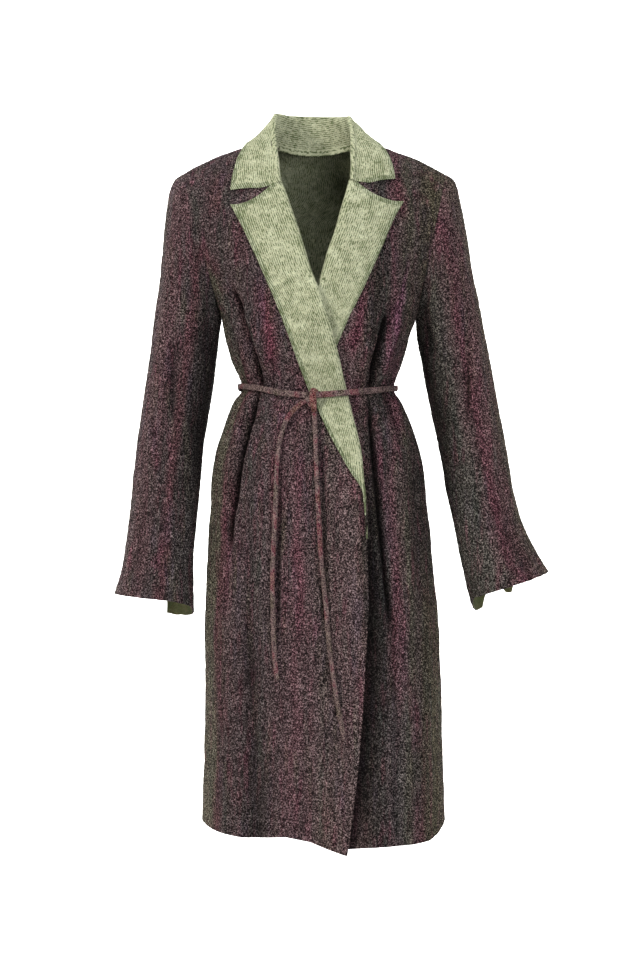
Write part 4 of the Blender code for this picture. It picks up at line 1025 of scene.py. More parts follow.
def finer(points, steps, wrapped=False):
    """Smooth curves through the first axis of a grid, some steps from each line to the next.
    They turn with the distance between the lines, so a tight roll keeps its shape."""
    if wrapped:
        before, after = points[-2:-1], points[1:2]
    else:
        before, after = 2 * points[:1] - points[1:2], 2 * points[-1:] - points[-2:-1]
    padded = np.concatenate((before, points, after))
    far = np.linalg.norm(np.diff(padded[..., :3], axis=0), axis=-1, keepdims=True)
    far = np.sqrt(np.maximum(far, LEAST))
    a, b, c, d = (padded[i : len(padded) - 3 + i] for i in range(4))
    ab, bc, cd = (far[i : len(far) - 2 + i] for i in range(3))
    leave = bc * ((b - a) / ab - (c - a) / (ab + bc) + (c - b) / bc)
    reach = bc * ((c - b) / bc - (d - b) / (bc + cd) + (d - c) / cd)
    t = (np.arange(steps) / steps).reshape(1, -1, *[1] * (points.ndim - 1))
    b, c, leave, reach = (values[:, None] for values in (b, c, leave, reach))
    curve = b + leave * t + (3.0 * (c - b) - 2.0 * leave - reach) * t**2
    curve = curve + (2.0 * (b - c) + leave + reach) * t**3
    return np.concatenate((curve.reshape(-1, *points.shape[1:]), points[-1:]))


def finer_grid(points, steps, wrapped=False):
    """A finer grid through the points of a coarse one. Steps are those across and down."""
    rows = finer(points, steps[1])
    return finer(rows.swapaxes(0, 1), steps[0], wrapped).swapaxes(0, 1)


def sampled(across, down, surface):
    """A grid of numbers: one row of surface(column, row) for each line across."""
    return np.array([[surface(c, r) for c in range(across + 1)] for r in range(down + 1)])


def outward(points):
    """The direction out of the cloth at each point of a grid."""
    way = np.cross(np.gradient(points, axis=0), np.gradient(points, axis=1))
    return way / np.maximum(np.linalg.norm(way, axis=2, keepdims=True), LEAST_NORMAL)


def distance_along(points, axis):
    """Length along the cloth from the first line of a grid, in one direction."""
    steps = np.linalg.norm(np.diff(points, axis=axis), axis=2)
    start = np.zeros_like(np.take(points[..., 0], [0], axis=axis))
    return np.concatenate((start, np.cumsum(steps, axis=axis)), axis=axis)


def sleeve_crease_lift(side, turn, length):
    """How far a sleeve's creases lift its cloth, at degrees round it and a length down it."""
    lift = np.zeros_like(turn)
    for crease in rows_of(SLEEVE_CREASES[side], SLEEVE_CREASE_COLUMNS):
        share = (length - crease["top"]) / (crease["foot"] - crease["top"])
        middle = mix(crease["top_turn"], crease["foot_turn"], share)
        away = (turn - middle + 180.0) % 360.0 - 180.0
        lift += crease["lift"] * shown(share, away / crease["width"], SLEEVE_CREASE_FADE)
    return lift


def rumple(across, down):
    """Slow waves over the cloth, for places in metres."""
    lift = np.zeros_like(across)
    for wave in rows_of(RUMPLE, RUMPLE_COLUMNS):
        phase = wave["across"] * across + wave["down"] * down
        lift += wave["height"] * np.sin(2.0 * math.pi * phase + wave["start"])
    return lift


def seam_roll(distance):
    """How the cloth turns in towards a seam."""
    return -SEAM_ROLL * (1.0 - smooth(distance / SEAM_REACH)) ** 2


def stitched_edge(distance):
    """The pressed band along an edge, and the stitched line on its inner side."""
    risen = smooth(distance / BAND_EASE)
    band = BAND_LIFT * (1.0 - smooth((distance - EDGE_BAND + BAND_EASE) / BAND_EASE)) * risen
    line = STITCH_DEPTH * np.exp(-(((distance - EDGE_BAND) / STITCH_WIDTH) ** 2))
    return band - line - RIM_DROP * (1.0 - risen)


def pressed_band(distance):
    """How far a place belongs to the pressed band along an edge, from 0 to 1."""
    return 1.0 - smooth((distance - EDGE_BAND + 1.0) / 2.0)


def select_only(piece):
    """Makes a piece the only selected one, so that operators act on it alone."""
    bpy.ops.object.select_all(action="DESELECT")
    piece.select_set(True)
    bpy.context.view_layer.objects.active = piece


def shell(name, points, weave, materials, joined=False, values=None):
    """One face of cloth on a grid of points in millimetres, with its own weave coordinates in
    metres, and named values for its material at each point."""
    down, across = points.shape[0] - 1, points.shape[1] - 1
    bpy.ops.object.select_all(action="DESELECT")
    bpy.ops.mesh.primitive_grid_add(x_subdivisions=across, y_subdivisions=down, size=1.0)
    piece = bpy.context.object
    piece.name = name
    mesh = piece.data
    flat = np.empty(len(mesh.vertices) * 3, np.float32)
    mesh.vertices.foreach_get("co", flat)
    flat = flat.reshape(-1, 3)
    column = np.rint((flat[:, 0] + 0.5) * across).astype(int)
    row = np.rint((0.5 - flat[:, 1]) * down).astype(int)
    mesh.vertices.foreach_set("co", (points[row, column] * MM).astype(np.float32).ravel())
    corner = np.empty(len(mesh.loops), np.int32)
    mesh.loops.foreach_get("vertex_index", corner)
    layer = mesh.uv_layers.active
    layer.name = "weave"
    layer.data.foreach_set("uv", weave[row, column][corner].astype(np.float32).ravel())
    for key, value in (values or {}).items():
        kind, field = ("FLOAT_COLOR", "color") if value.ndim == 3 else ("FLOAT", "value")
        attribute = mesh.attributes.new(key, kind, "POINT")
        attribute.data.foreach_set(field, value[row, column].astype(np.float32).ravel())
    for material in materials:
        mesh.materials.append(material)
    if joined:
        bpy.ops.object.mode_set(mode="EDIT")
        bpy.ops.mesh.select_all(action="SELECT")
        bpy.ops.mesh.remove_doubles(threshold=MERGED)
        bpy.ops.object.mode_set(mode="OBJECT")
    return piece


def cloth(name, node, points, weave, materials, thickness, joined=False, values=None):
    """A piece of cloth: its face, and the reverse inside."""
    piece = shell(name, points, weave, materials, joined, values)
    wall = piece.modifiers.new("Cloth", "SOLIDIFY")
    wall.thickness = thickness * MM
    wall.offset = -1.0
    wall.material_offset = 1
    wall.material_offset_rim = 0
    select_only(piece)
    bpy.ops.object.modifier_apply(modifier=wall.name)
    bpy.ops.object.shade_smooth_by_angle(angle=math.radians(CLOTH_ANGLE))
    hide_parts(node)
    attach(piece, "root")
    return piece


def painted_shade(piece, x, z):
    """How much painted shade a body piece gets, from 0 to 1: in its folds, and on the left front
    under the right one's edge, where shade falls."""
    face = "back" if piece == "back" else "front"
    creases = folds_lift(CREASES, piece, x, z, CREASE_FADE)
    lift = FOLD_SHADE_WEIGHT * folds_lift(FOLDS, face, x, z) + CREASE_SHADE_WEIGHT * creases
    shade_amount = smooth(-lift / PAINTED_SHADE_DEPTH)
    if piece != "left":
        return shade_amount
    # painted shadow of the right front's edge on the left front
    under = columns(UNDER_SHADE, UNDER_SHADE_COLUMNS)
    past = x - along(EDGES["right"], "height", z, "x")
    reach = along(under, "height", z, "reach")
    return np.maximum(shade_amount, UNDER_SHADE_MOST * (1.0 - smooth(past / reach - UNDER_SHADE_SHARE)))


def streaks(piece, x, z):
    """The colour of a body piece's own streaks and painted shade, and as a fourth value how
    strong they are.
    """
    strong = np.full(x.shape, STREAK_LEAST)
    colour = strong[..., None] * np.array(linear(STREAK_GROUND)[:3])
    for streak in rows_of(STREAKS_AND_PAINTED_SHADE[piece], STREAK_LINE_COLUMNS):
        share = streak["amount"] * line_share(streak, x, z, STREAK_FADE)
        strong = strong + share
        colour = colour + share[..., None] * np.array(linear(streak["colour"])[:3])
    colour = colour / strong[..., None]
    return np.concatenate((colour, np.minimum(strong, STREAK_MOST)[..., None]), axis=2)


def dressed(piece, points, free):
    """A body piece's face with its folds, creases and unevenness, and its hem. Free is how far
    each place is from the edges that have to stay where they are."""
    x, z = points[..., 0], points[..., 2]
    waves = folds_lift(CREASES, piece, x, z, CREASE_FADE)
    waves = waves + rumple(x * MM + RUMPLE_STARTS[piece], z * MM)
    lift = cloth_lift(piece, x, z) + waves * smooth(free / FREE_REACH)
    points = points + outward(points) * lift[..., None]
    points[..., 2] += hem_shift(points[..., 2], points[..., 0], piece)
    return points


def turned_in(points, seam_distance, seed):
    """The face rolled in at its seams, and roughened as brushed wool is."""
    rough = np.random.default_rng(seed).uniform(-FUZZ, FUZZ, points.shape[:2])
    rough *= smooth(seam_distance / SEAM_REACH)
    return points + outward(points) * (seam_roll(seam_distance) + rough)[..., None]


def skirt_place(x):
    """The share of the way round the front at skirt level, at x."""
    row = float(np.interp(-STRIPE_LEVEL, -BODY["height"], range(len(BODY["height"]))))
    wide = Section(YOKE_COUNT + row, "front").wide(np.mean(x))
    turn = np.arccos(np.clip(np.abs(x) / wide, 0.0, 1.0) ** (CORNERS / 2.0)) / math.pi
    return np.where(x < 0.0, turn, 1.0 - turn)


def body_cloth(name, node, piece, grid, materials):
    """A front or the back, on its grid of places and angles round the body."""
    points, angle = grid[..., :3], grid[..., 3]
    x, z = points[..., 0], points[..., 2]
    across, down = distance_along(points, 1), distance_along(points, 0)
    rest = across[:, -1:] - across
    # how far each place is from the seams, and from the edges that have to stay where they are
    seam, free = {
        "right": (across, rest),
        "left": (rest, across),
        "back": (np.minimum(across, rest), down),
    }[piece]
    # painted shade for the folds and creases, and on the left front under the right front's edge
    shade_amount, drawn = painted_shade(piece, x, z), streaks(piece, x, z)
    points = turned_in(dressed(piece, points, free), np.minimum(seam, down), SEEDS[node])
    weave = np.stack((across * MM, down * MM), axis=2)
    # the left front's bands hang straight, and the others' run with the shape
    place = skirt_place(points[..., 0]) if piece == "left" else angle / 180.0
    values = {"stripe_place": place, "painted_shade": shade_amount, "streak": drawn}
    return cloth(name, node, points, weave, materials, CLOTH, values=values)


def front_cloth(name, node, piece, materials):
    """A front, from its neckline, roll line and front edge to the armhole and side seam."""
    side = -1 if piece == "right" else 1
    sections = [Section(place, "front") for place in range(SECTION_COUNT)]

    def surface(column, row):
        section = sections[row]
        edge_x = along(EDGES[piece], "height", section.inner_z, "x")
        share = column / FRONT_ACROSS
        if side < 0:
            share = 1.0 - share
        angle = mix(section.angle(edge_x), section.ends()[side > 0], share)
        return (*section.at_angle(angle)[0], angle)

    grid = finer_grid(sampled(FRONT_ACROSS, SECTION_COUNT - 1, surface), FRONT_STEPS)
    return body_cloth(name, node, piece, grid, materials)


def back_cloth(name, node, materials):
    """The back, in one piece from side seam to side seam."""
    shares = back_angles()[::-1]
    top_ends = Section(0.0, "back").ends()
    starts = [neckline_place(mix(*top_ends, share)) for share in shares]

    def surface(column, row):
        place = float(row)
        if place < BACK_YOKE_END:
            place = mix(starts[column], BACK_YOKE_END, place / BACK_YOKE_END)
        section = Section(place, "back")
        angle = mix(*section.ends(), shares[column])
        return (*section.at_angle(angle)[0], angle)

    grid = finer_grid(sampled(BACK_ACROSS, SECTION_COUNT - 1, surface), BACK_STEPS)
    return body_cloth(name, node, "back", grid, materials)


def sleeve_cloth(name, node, side, rows, materials):
    """A set-in sleeve from the armhole to its flared cuff, with a vent at the back."""
    table = columns(rows, SLEEVE_COLUMNS)
    flap, back = columns(CUFF_FLAP, CUFF_COLUMNS), columns(CUFF_BACK, CUFF_COLUMNS)
    around = len(sleeve_turns(0))

    def surface(column, row):
        line = VENT_LINE - side * column
        turn = sleeve_turns(row)[line % around]
        point = sleeve_point(table, side, row, turn)
        down = (sleeve_point(table, side, len(rows), turn) - point).length
        on_flap = line % around < VENT_LINE or line == VENT_LINE + (side < 0) * around
        share = max(0.0, 1.0 - down / CUFF_SHAPING) ** 2
        point.z -= along(flap if on_flap else back, "turn", turn, "drop") * share
        if line % around == VENT_LINE and down < VENT_LENGTH:
            ahead = sleeve_turns(row)[(line + (-1 if on_flap else 1)) % around]
            way = sleeve_point(table, side, row, ahead) - sleeve_point(table, side, row, turn)
            point += way.normalized() * VENT_OPEN * (1.0 - down / VENT_LENGTH)
        spun = sleeve_turns(row)[line % around] + 360.0 * math.floor(line / around)
        return (*point, spun)

    grid = finer_grid(sampled(around, len(rows), surface), SLEEVE_STEPS)
    points, turn = grid[..., :3], grid[..., 3]
    down = distance_along(points, 0)
    piece = "right" if side < 0 else "left"
    # the cuff's edge curls, the flap's and the back's side of the vent each in its own way
    curl = columns(CUFF_CURLS[piece], CUFF_CURL_COLUMNS)
    drop = np.where(turn > (0.0 if side > 0 else 360.0), *(
        np.interp(turn % 360.0, curl["turn"], curl[part]) for part in ("flap", "back")
    ))
    points[..., 2] -= drop * (1.0 - smooth((down[-1:] - down) / CUFF_CURL_REACH))
    lift = sleeve_crease_lift(piece, turn, down)
    # painted shade under the arm, where the body shades the sleeve, and in the sleeve's creases
    beside = (turn % 360.0 - ARM_SHADE_TURN) / ARM_SHADE_WIDE
    length = smooth(down / ARM_SHADE_TOP) * smooth((ARM_SHADE_FOOT - down) / ARM_SHADE_FOOT * 2.0)
    painted_arm_shade = np.exp(-(beside**2)) * ARM_SHADE_MOST * length
    shade_amount = np.maximum(smooth(-lift / SLEEVE_PAINTED_SHADE_DEPTH), painted_arm_shade)
    lift += rumple(turn / 360.0 * SLEEVE_ROUND, down * MM + RUMPLE_STARTS[node])
    away = np.minimum(turn - turn.min(), turn.max() - turn)
    lift *= smooth(away / SLEEVE_SEAM_REACH[0]) * smooth(down / SLEEVE_SEAM_REACH[1])
    points = points + outward(points) * lift[..., None]
    points = turned_in(points, np.minimum(down, away), SEEDS[node])
    points[0] += tuck(points[0], points[1], *SEAM_TUCK)
    weave = np.stack((distance_along(points, 1) * MM, down * MM), axis=2)
    drawn = np.zeros((*turn.shape, 4))     # its streaks are left to the stripes
    values = {"stripe_place": turn / 360.0 % 1.0, "painted_shade": shade_amount, "streak": drawn}
    return cloth(name, node, points, weave, materials, CLOTH, joined=True, values=values)


def lapel_cloth(name, node, piece, rows, materials):
    """A lapel: the reverse of the cloth, rolled out over the front and stitched along its edge."""
    side = -1 if piece == "right" else 1
    table = columns(rows, LAPEL_COLUMNS)
    roll = columns(ROLL_PROFILE, ROLL_COLUMNS)
    rolled = len(ROLL_PROFILE)
    across = rolled + len(LAPEL_SHARES) - 1
    heights = lapel_heights()
    if piece == "right":
        heights += [*np.linspace(ROLL_FOOT_Z, TURNED_EDGE_FOOT, TURNED_EDGE_ROWS)[1:]]

    def surface(column, row):
        if side > 0:
            column = across - column
        height = heights[row]
        share = (height - ROLL_TOP_Z) / (ROLL_FOOT_Z - ROLL_TOP_Z)
        roll_x = along(EDGES[piece], "height", height, "x")
        edge_x = along(table, "share", share, "x")
        edge_z = along(table, "share", share, "height")
        if height < ROLL_FOOT_Z:
            left = (height - TURNED_EDGE_FOOT) / (ROLL_FOOT_Z - TURNED_EDGE_FOOT)
            edge_x, edge_z = roll_x + side * mix(*TURNED_EDGE_WIDE, left), height
        width = abs(edge_x - roll_x)
        flat_lift = LAY + TURNED_CLOTH
        narrow = min(1.0, width / LAPEL_ROLL_WIDE)
        if piece == "left":
            covered = along(EDGES["right"], "height", height, "x") - roll_x
            narrow *= mix(1.0, UNDER_ROLL, smooth((covered + UNDER_ROLL_FROM) / UNDER_ROLL_OVER))
        if column < rolled:
            out = roll["out"][column] * narrow - SEAM * (column == 0)
            lift = mix(min(roll["lift"][column], flat_lift), roll["lift"][column], narrow)
            across_share = out / max(width, 1.0)
        else:
            across_share = LAPEL_SHARES[column - rolled]
            start = ROLL_PROFILE[-1][0] * narrow / max(width, 1.0)
            across_share = mix(start, 1.0, across_share)
            raised = ROLL_PROFILE[-1][1] - flat_lift
            lift = flat_lift + raised * narrow * (1.0 - across_share) ** 2
        x = mix(roll_x, edge_x, across_share) if column >= rolled else roll_x + side * out
        z = mix(height, edge_z, max(across_share, 0.0))
        place = max(across_share, 0.0) ** SAG_PLACE
        z -= along(table, "share", share, "sag") * 4.0 * place * (1.0 - place)
        return on_front(x, z, piece, lift)[0]

    # this surface is the lapel's underside, and the side that shows lies a thickness outside it
    grid = finer_grid(sampled(across, len(heights) - 1, surface), LAPEL_STEPS)[:, ::-1]
    points = grid[..., :3]
    from_left, down = distance_along(points, 1), distance_along(points, 0)
    from_right = from_left[:, -1:] - from_left
    from_roll, to_edge = (from_right, from_left) if side < 0 else (from_left, from_right)
    # the stitched band turns off the lapel's edge along its top, and runs out before the roll
    on_face = smooth((from_roll - TOP_BAND_FROM) / TOP_BAND_OVER)
    to_rim = np.minimum(to_edge, mix(FAR, down, on_face))
    uneven = rumple(from_roll * MM + RUMPLE_STARTS[node], down * MM) * TURNED_RUMPLE
    lift = stitched_edge(to_rim) + uneven + TURNED_CLOTH
    points = points + outward(points) * lift[..., None]
    under_collar = 1.0 - smooth((from_roll[0] - UNDER_COLLAR) / UNDER_COLLAR)
    points[0] += tuck(points[0], points[1], *GORGE_TUCK) * under_collar[:, None]
    weave = np.stack(((from_roll + LAPEL_GRAIN * down) * MM, down * MM), axis=2)
    values = {"pressed_band": pressed_band(to_rim), "to_edge": to_rim}
    return cloth(name, node, points, weave, materials, TURNED_CLOTH, values=values)


def tuck(edge, line, length, out):
    """How far an edge moves to run on past its line, and out from the cloth."""
    way = edge - line
    way /= np.maximum(np.linalg.norm(way, axis=1, keepdims=True), LEAST)
    normal = np.cross(np.gradient(line, axis=0), way)
    normal /= np.maximum(np.linalg.norm(normal, axis=1, keepdims=True), LEAST)
    return way * length + normal * out


def collar_cloth(name, node, materials):
    """The collar: a stand on the neckline, rolled over into the fall."""
    sections = collar_sections()
    last = len(sections) - 1
    rolls = curve_through([section["roll"] for section in sections], COLLAR_STEPS)
    edges = curve_through([section["edge"] for section in sections], COLLAR_STEPS)
    steps = np.linspace(0.0, last, last * COLLAR_STEPS + 1)
    seams = np.interp(steps, range(last + 1), [section["seam"] for section in sections])
    rows = 1 + len(FOLD_TOP) + len(FALL_SHARES)
    top = rows_of(FOLD_TOP, ROLL_COLUMNS)

    def surface(column, row):
        side = -1 if seams[column] <= 1.0 else 1
        share = 1.0 - abs(1.0 - float(seams[column]))
        roll, edge = rolls[column], edges[column]
        turn = math.radians(mix(*COLLAR_TURNS, share))
        out = Vector((side * math.cos(turn), math.sin(turn), 0.0))
        front = smooth(1.0 - share / COLLAR_SHOULDER)
        up = mix(Vector((0.0, 0.0, 1.0)), Vector(COLLAR_FRONT_UP), front)
        seam = neckline_point(share, side) + up * STAND_SEAM - out * STAND_IN * front
        if row == 0:
            return seam
        turned = [roll + out * place["out"] + up * place["lift"] for place in top]
        if row == 1:
            return mix(seam, turned[0], 0.5) - out * front
        if row <= 1 + len(top):
            return turned[row - 2]
        part = FALL_SHARES[row - 2 - len(top)]
        bulge = FALL_BULGE * 4.0 * part * (1.0 - part)
        slope = min(part / NOTCH_PLACE, (1.0 - part) / (1.0 - NOTCH_PLACE))
        dip = COLLAR_END_DIP * slope * smooth(1.0 - (share - COLLAR_DIP_FROM) / COLLAR_DIP_OVER)
        place = mix(turned[-1], edge, part) + (out + up) * bulge
        return place - Vector((0.0, 0.0, dip))

    across = len(steps) - 1
    points = finer_grid(sampled(across, rows, surface), COLLAR_FINE)[:, ::-1]
    fall = np.arange(len(points)) / COLLAR_FINE[1] - len(top) - 1.0
    fall /= NOTCH_PLACE / FALL_SHARES[0]
    reach = COLLAR_END_REACH * (1.0 - smooth(fall))
    for end in (points, points[:, ::-1]):
        way = end[:, 0] - end[:, COLLAR_END_COLUMNS]
        way /= np.linalg.norm(way, axis=1, keepdims=True)
        share = 1.0 - smooth(distance_along(end, 1) / COLLAR_END_STRETCH)
        end += way[:, None] * (reach[:, None] * share)[..., None]
        out = 1.0 - smooth(distance_along(end, 1) / COLLAR_OUT_STRETCH)
        out *= COLLAR_END_OUT * (reach / COLLAR_END_REACH)[:, None]
        end[..., 0] += out * math.copysign(1.0, end[:, 0, 0].mean() - NECK_X)
    down, round_neck = distance_along(points, 0), distance_along(points, 1)
    ends = np.minimum(round_neck, round_neck[:, -1:] - round_neck)
    to_rim = np.minimum(down[-1:] - down, np.where(down > COLLAR_STAND_HIGH, ends, FAR))
    lift = stitched_edge(to_rim) + rumple(round_neck * MM, down * MM + RUMPLE_STARTS[node])
    sunk = COLLAR_END_SINK * (1.0 - smooth(ends / COLLAR_SINK_OVER))
    lift -= sunk * (reach / COLLAR_END_REACH)[:, None]
    points = points + outward(points) * (lift + TURNED_CLOTH)[..., None]
    points[0] += tuck(points[0], points[1], *STAND_TUCK)
    weave = np.stack((down * MM, round_neck * MM), axis=2)
    values = {"pressed_band": pressed_band(to_rim), "to_edge": to_rim}
    return cloth(name, node, points, weave, materials, TURNED_CLOTH, values=values)


def band_of_cloth(name, node, path, wide, thick, facing, material, ends=(True, True)):
    """A turned band of cloth along a path: wide and thick across it, its flat side facing out."""
    path = np.array([tuple(point) for point in path])
    facing = np.broadcast_to(np.array(facing, dtype=float), path.shape)
    way = np.gradient(path, axis=0)
    way /= np.linalg.norm(way, axis=1, keepdims=True)
    out = facing - way * (facing * way).sum(axis=1, keepdims=True)
    out /= np.linalg.norm(out, axis=1, keepdims=True)
    side = np.cross(way, out)
    far = np.concatenate(([0.0], np.cumsum(np.linalg.norm(np.diff(path, axis=0), axis=1))))
    wide, thick = (np.broadcast_to(np.array(v, dtype=float), far.shape) for v in (wide, thick))
    # rounded ends: rings that close to a point
    close = np.ones(len(path))
    for at_end, gap in ((ends[0], far), (ends[1], far[-1] - far)):
        if at_end:
            close *= np.sqrt(1.0 - (1.0 - np.clip(gap / BAND_END, 0.0, 1.0)) ** 2)
    turn = np.linspace(0.0, 2.0 * math.pi, BAND_AROUND + 1)
    cos, sin = np.cos(turn), np.sin(turn)
    power = 2.0 / BAND_CORNERS
    flat_x = np.sign(cos) * np.abs(cos) ** power / 2.0
    flat_y = np.sign(sin) * np.abs(sin) ** power / 2.0
    sizes = (wide * close)[:, None] * flat_x, (thick * close)[:, None] * flat_y
    points = path[:, None] + side[:, None] * sizes[0][..., None]
    points = points + out[:, None] * sizes[1][..., None]
    around = np.broadcast_to(turn / (2.0 * math.pi), points.shape[:2])
    round_band = around * (wide.max() + thick.max()) * 2.0 * MM
    weave = np.stack((round_band, np.broadcast_to(far[:, None] * MM, around.shape)), axis=2)
    piece = shell(name, points, weave, (material,), joined=True)
    select_only(piece)
    bpy.ops.object.mode_set(mode="EDIT")
    bpy.ops.mesh.select_all(action="SELECT")
    bpy.ops.mesh.normals_make_consistent(inside=False)
    bpy.ops.object.mode_set(mode="OBJECT")
    bpy.ops.object.shade_smooth_by_angle(angle=math.radians(BAND_ANGLE))
    if node:
        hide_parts(node)
    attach(piece, "root")
    return piece


def wavering(places, *waves):
    """The sum of some waves along a band of cloth: how high, how long and where each starts."""
    return sum(height * np.sin(places / length + start) for height, length, start in waves)


def waist_belt(name, node, material):
    """The belt's round of the waist, pulled tight, from one side of the knot to the other."""
    loop = taut(waist_points(BELT_THICK / 2.0 + BELT_CLEAR))
    front = [i for i, point in enumerate(loop) if point.y < 0]
    start = next(i for i in front if loop[i].x > KNOT_TURN_X)
    loop = spaced([*loop[start - 1 :], *loop[:start]], 1.0)
    route = [p for p in loop if abs(p.x - KNOT_TURN_X) > BELT_ENDS or p.y > 0]
    route = spaced(route, BELT_FINE)
    facing = [Vector((point.x - KNOT_X, point.y, 0.0)).normalized() for point in route]
    places = np.arange(len(route)) * BELT_FINE
    wide = BELT_SHOWN + wavering(places, *BELT_WIDE_WAVES)
    thick = BELT_SHOWN_THICK + wavering(places, *BELT_THICK_WAVES)
    return band_of_cloth(name, node, route, wide, thick, facing, material)


def knot_place(x, height, out):
    """A point of the knot, some way out from the knot's own middle."""
    middle = on_front(KNOT_X, KNOT_Z, "right", KNOT_LIFT)[0]
    return Vector((x, middle.y - out, height))


def knot_strand(name, rows, material):
    """One strand of the knot, a band of cloth along the places of its table."""
    strand = columns(rows, KNOT_STRAND_COLUMNS)
    path = [knot_place(*row) for row in zip(strand["x"], strand["height"], strand["out"])]
    fine = spaced(curve_through(path, KNOT_CURVE), BELT_FINE / 2.0)
    share = np.linspace(0.0, 1.0, len(fine))
    own = np.linspace(0.0, 1.0, len(path))
    wide, thick, turn = (np.interp(share, own, strand[key]) for key in ("wide", "thick", "facing"))
    turn = np.radians(turn)
    facing = np.stack((np.zeros_like(turn), -np.cos(turn), np.sin(turn)), axis=1)
    return band_of_cloth(name, None, fine, wide, thick, facing, material)


def tail_band(name, node, rows, material, with_pieces):
    """One hanging end of the belt, from the knot down the front of the coat."""
    table = columns(rows, PLACE_COLUMNS)
    clear = TAIL_WIDTH / 2.0 + TAIL_CLEAR
    route = [
        on_outside(float(x), float(z), clear, TAIL_WIDTH)
        for x, z in zip(table["x"], table["height"])
    ]
    line = spaced(curve_through(route, TAIL_CURVE), BELT_FINE)
    places = np.arange(len(line)) * BELT_FINE
    # each end's waves start from its own x, so that the two differ
    wide = TAIL_SHOWN + wavering(places, (*TAIL_WIDE_WAVE, rows[0][0]))
    thick = TAIL_SHOWN_THICK + wavering(places, (*TAIL_THICK_WAVE, rows[1][0]))
    spin = np.radians(wavering(places, (*TAIL_SPIN_WAVE, rows[2][0])))
    facing = np.stack((np.sin(spin), -np.cos(spin), np.zeros_like(spin)), axis=1)
    piece = band_of_cloth(name, node, line, wide, thick, facing, material)
    return piece


# Materials


def linear(colour):
    """An sRGB hex colour as the linear values that Blender takes."""
    parts = [int(colour[i : i + 2], 16) / 255.0 for i in (1, 3, 5)]
    return (*(p / 12.92 if p <= 0.04045 else ((p + 0.055) / 1.055) ** 2.4 for p in parts), 1.0)


def add(tree, kind, inputs=(), output=None, stops=None, **settings):
    """Adds a node with its settings and links, and gives its first output or the named one.
    Inputs are values or other nodes' outputs, by name or in the node's own order, and stops are
    a ramp's colours."""
    node = tree.nodes.new("ShaderNode" + kind)
    for key, value in settings.items():
        setattr(node, key, value)
    if not isinstance(inputs, dict):
        inputs = dict(zip((i for i, socket in enumerate(node.inputs) if socket.enabled), inputs))
    for key, value in inputs.items():
        if isinstance(value, bpy.types.NodeSocket):
            tree.links.new(value, node.inputs[key])
        else:
            node.inputs[key].default_value = value
    if stops:
        ramp = node.color_ramp
        while len(ramp.elements) < len(stops):
            ramp.elements.new(1.0)
        for element, (place, colour) in zip(ramp.elements, stops):
            element.position = place
            element.color = linear(colour) if isinstance(colour, str) else (*[colour] * 3, 1.0)
    return node.outputs[output] if output else next(s for s in node.outputs if s.enabled)


def new_material(name, roughness, sheen, sheen_tint):
    """A cloth's Principled material, with its even values on the shader itself."""
    material = bpy.data.materials.new(name)
    material.use_nodes = True
    shader = material.node_tree.nodes["Principled BSDF"]
    values = {
        "Roughness": roughness,
        "IOR": WOOL_IOR,
        "Specular IOR Level": WOOL_SPECULAR,
        "Sheen Weight": sheen,
        "Sheen Roughness": SHEEN_ROUGHNESS,
        "Sheen Tint": linear(sheen_tint),
    }
    for key, value in values.items():
        shader.inputs[key].default_value = value
    return material, material.node_tree, shader


def boucle(tree, place, size, width, stretch):
    """Curly fibres: bright along thin crooked lines about size metres apart."""
    curls = add(tree, "Mapping", {"Vector": place, "Scale": stretch})
    curls = add(tree, "TexNoise", {"Vector": curls, "Scale": 1.0 / size, "Detail": 1.0,
                                   "Roughness": 0.4, "Distortion": 0.6})
    away = add(tree, "Math", (curls, 0.5), operation="SUBTRACT")
    away = add(tree, "Math", (away,), operation="ABSOLUTE")
    return add(tree, "MapRange", (away, 0.0, width, 1.0, 0.0))


def finish_cloth(tree, shader, colour, height, strength):
    """Links a cloth's colour to its shader, and its fibres' height through a bump."""
    tree.links.new(colour, shader.inputs["Base Color"])
    inputs = {"Height": height, "Strength": strength, "Distance": FIBRE_HEIGHT}
    tree.links.new(add(tree, "Bump", inputs), shader.inputs["Normal"])


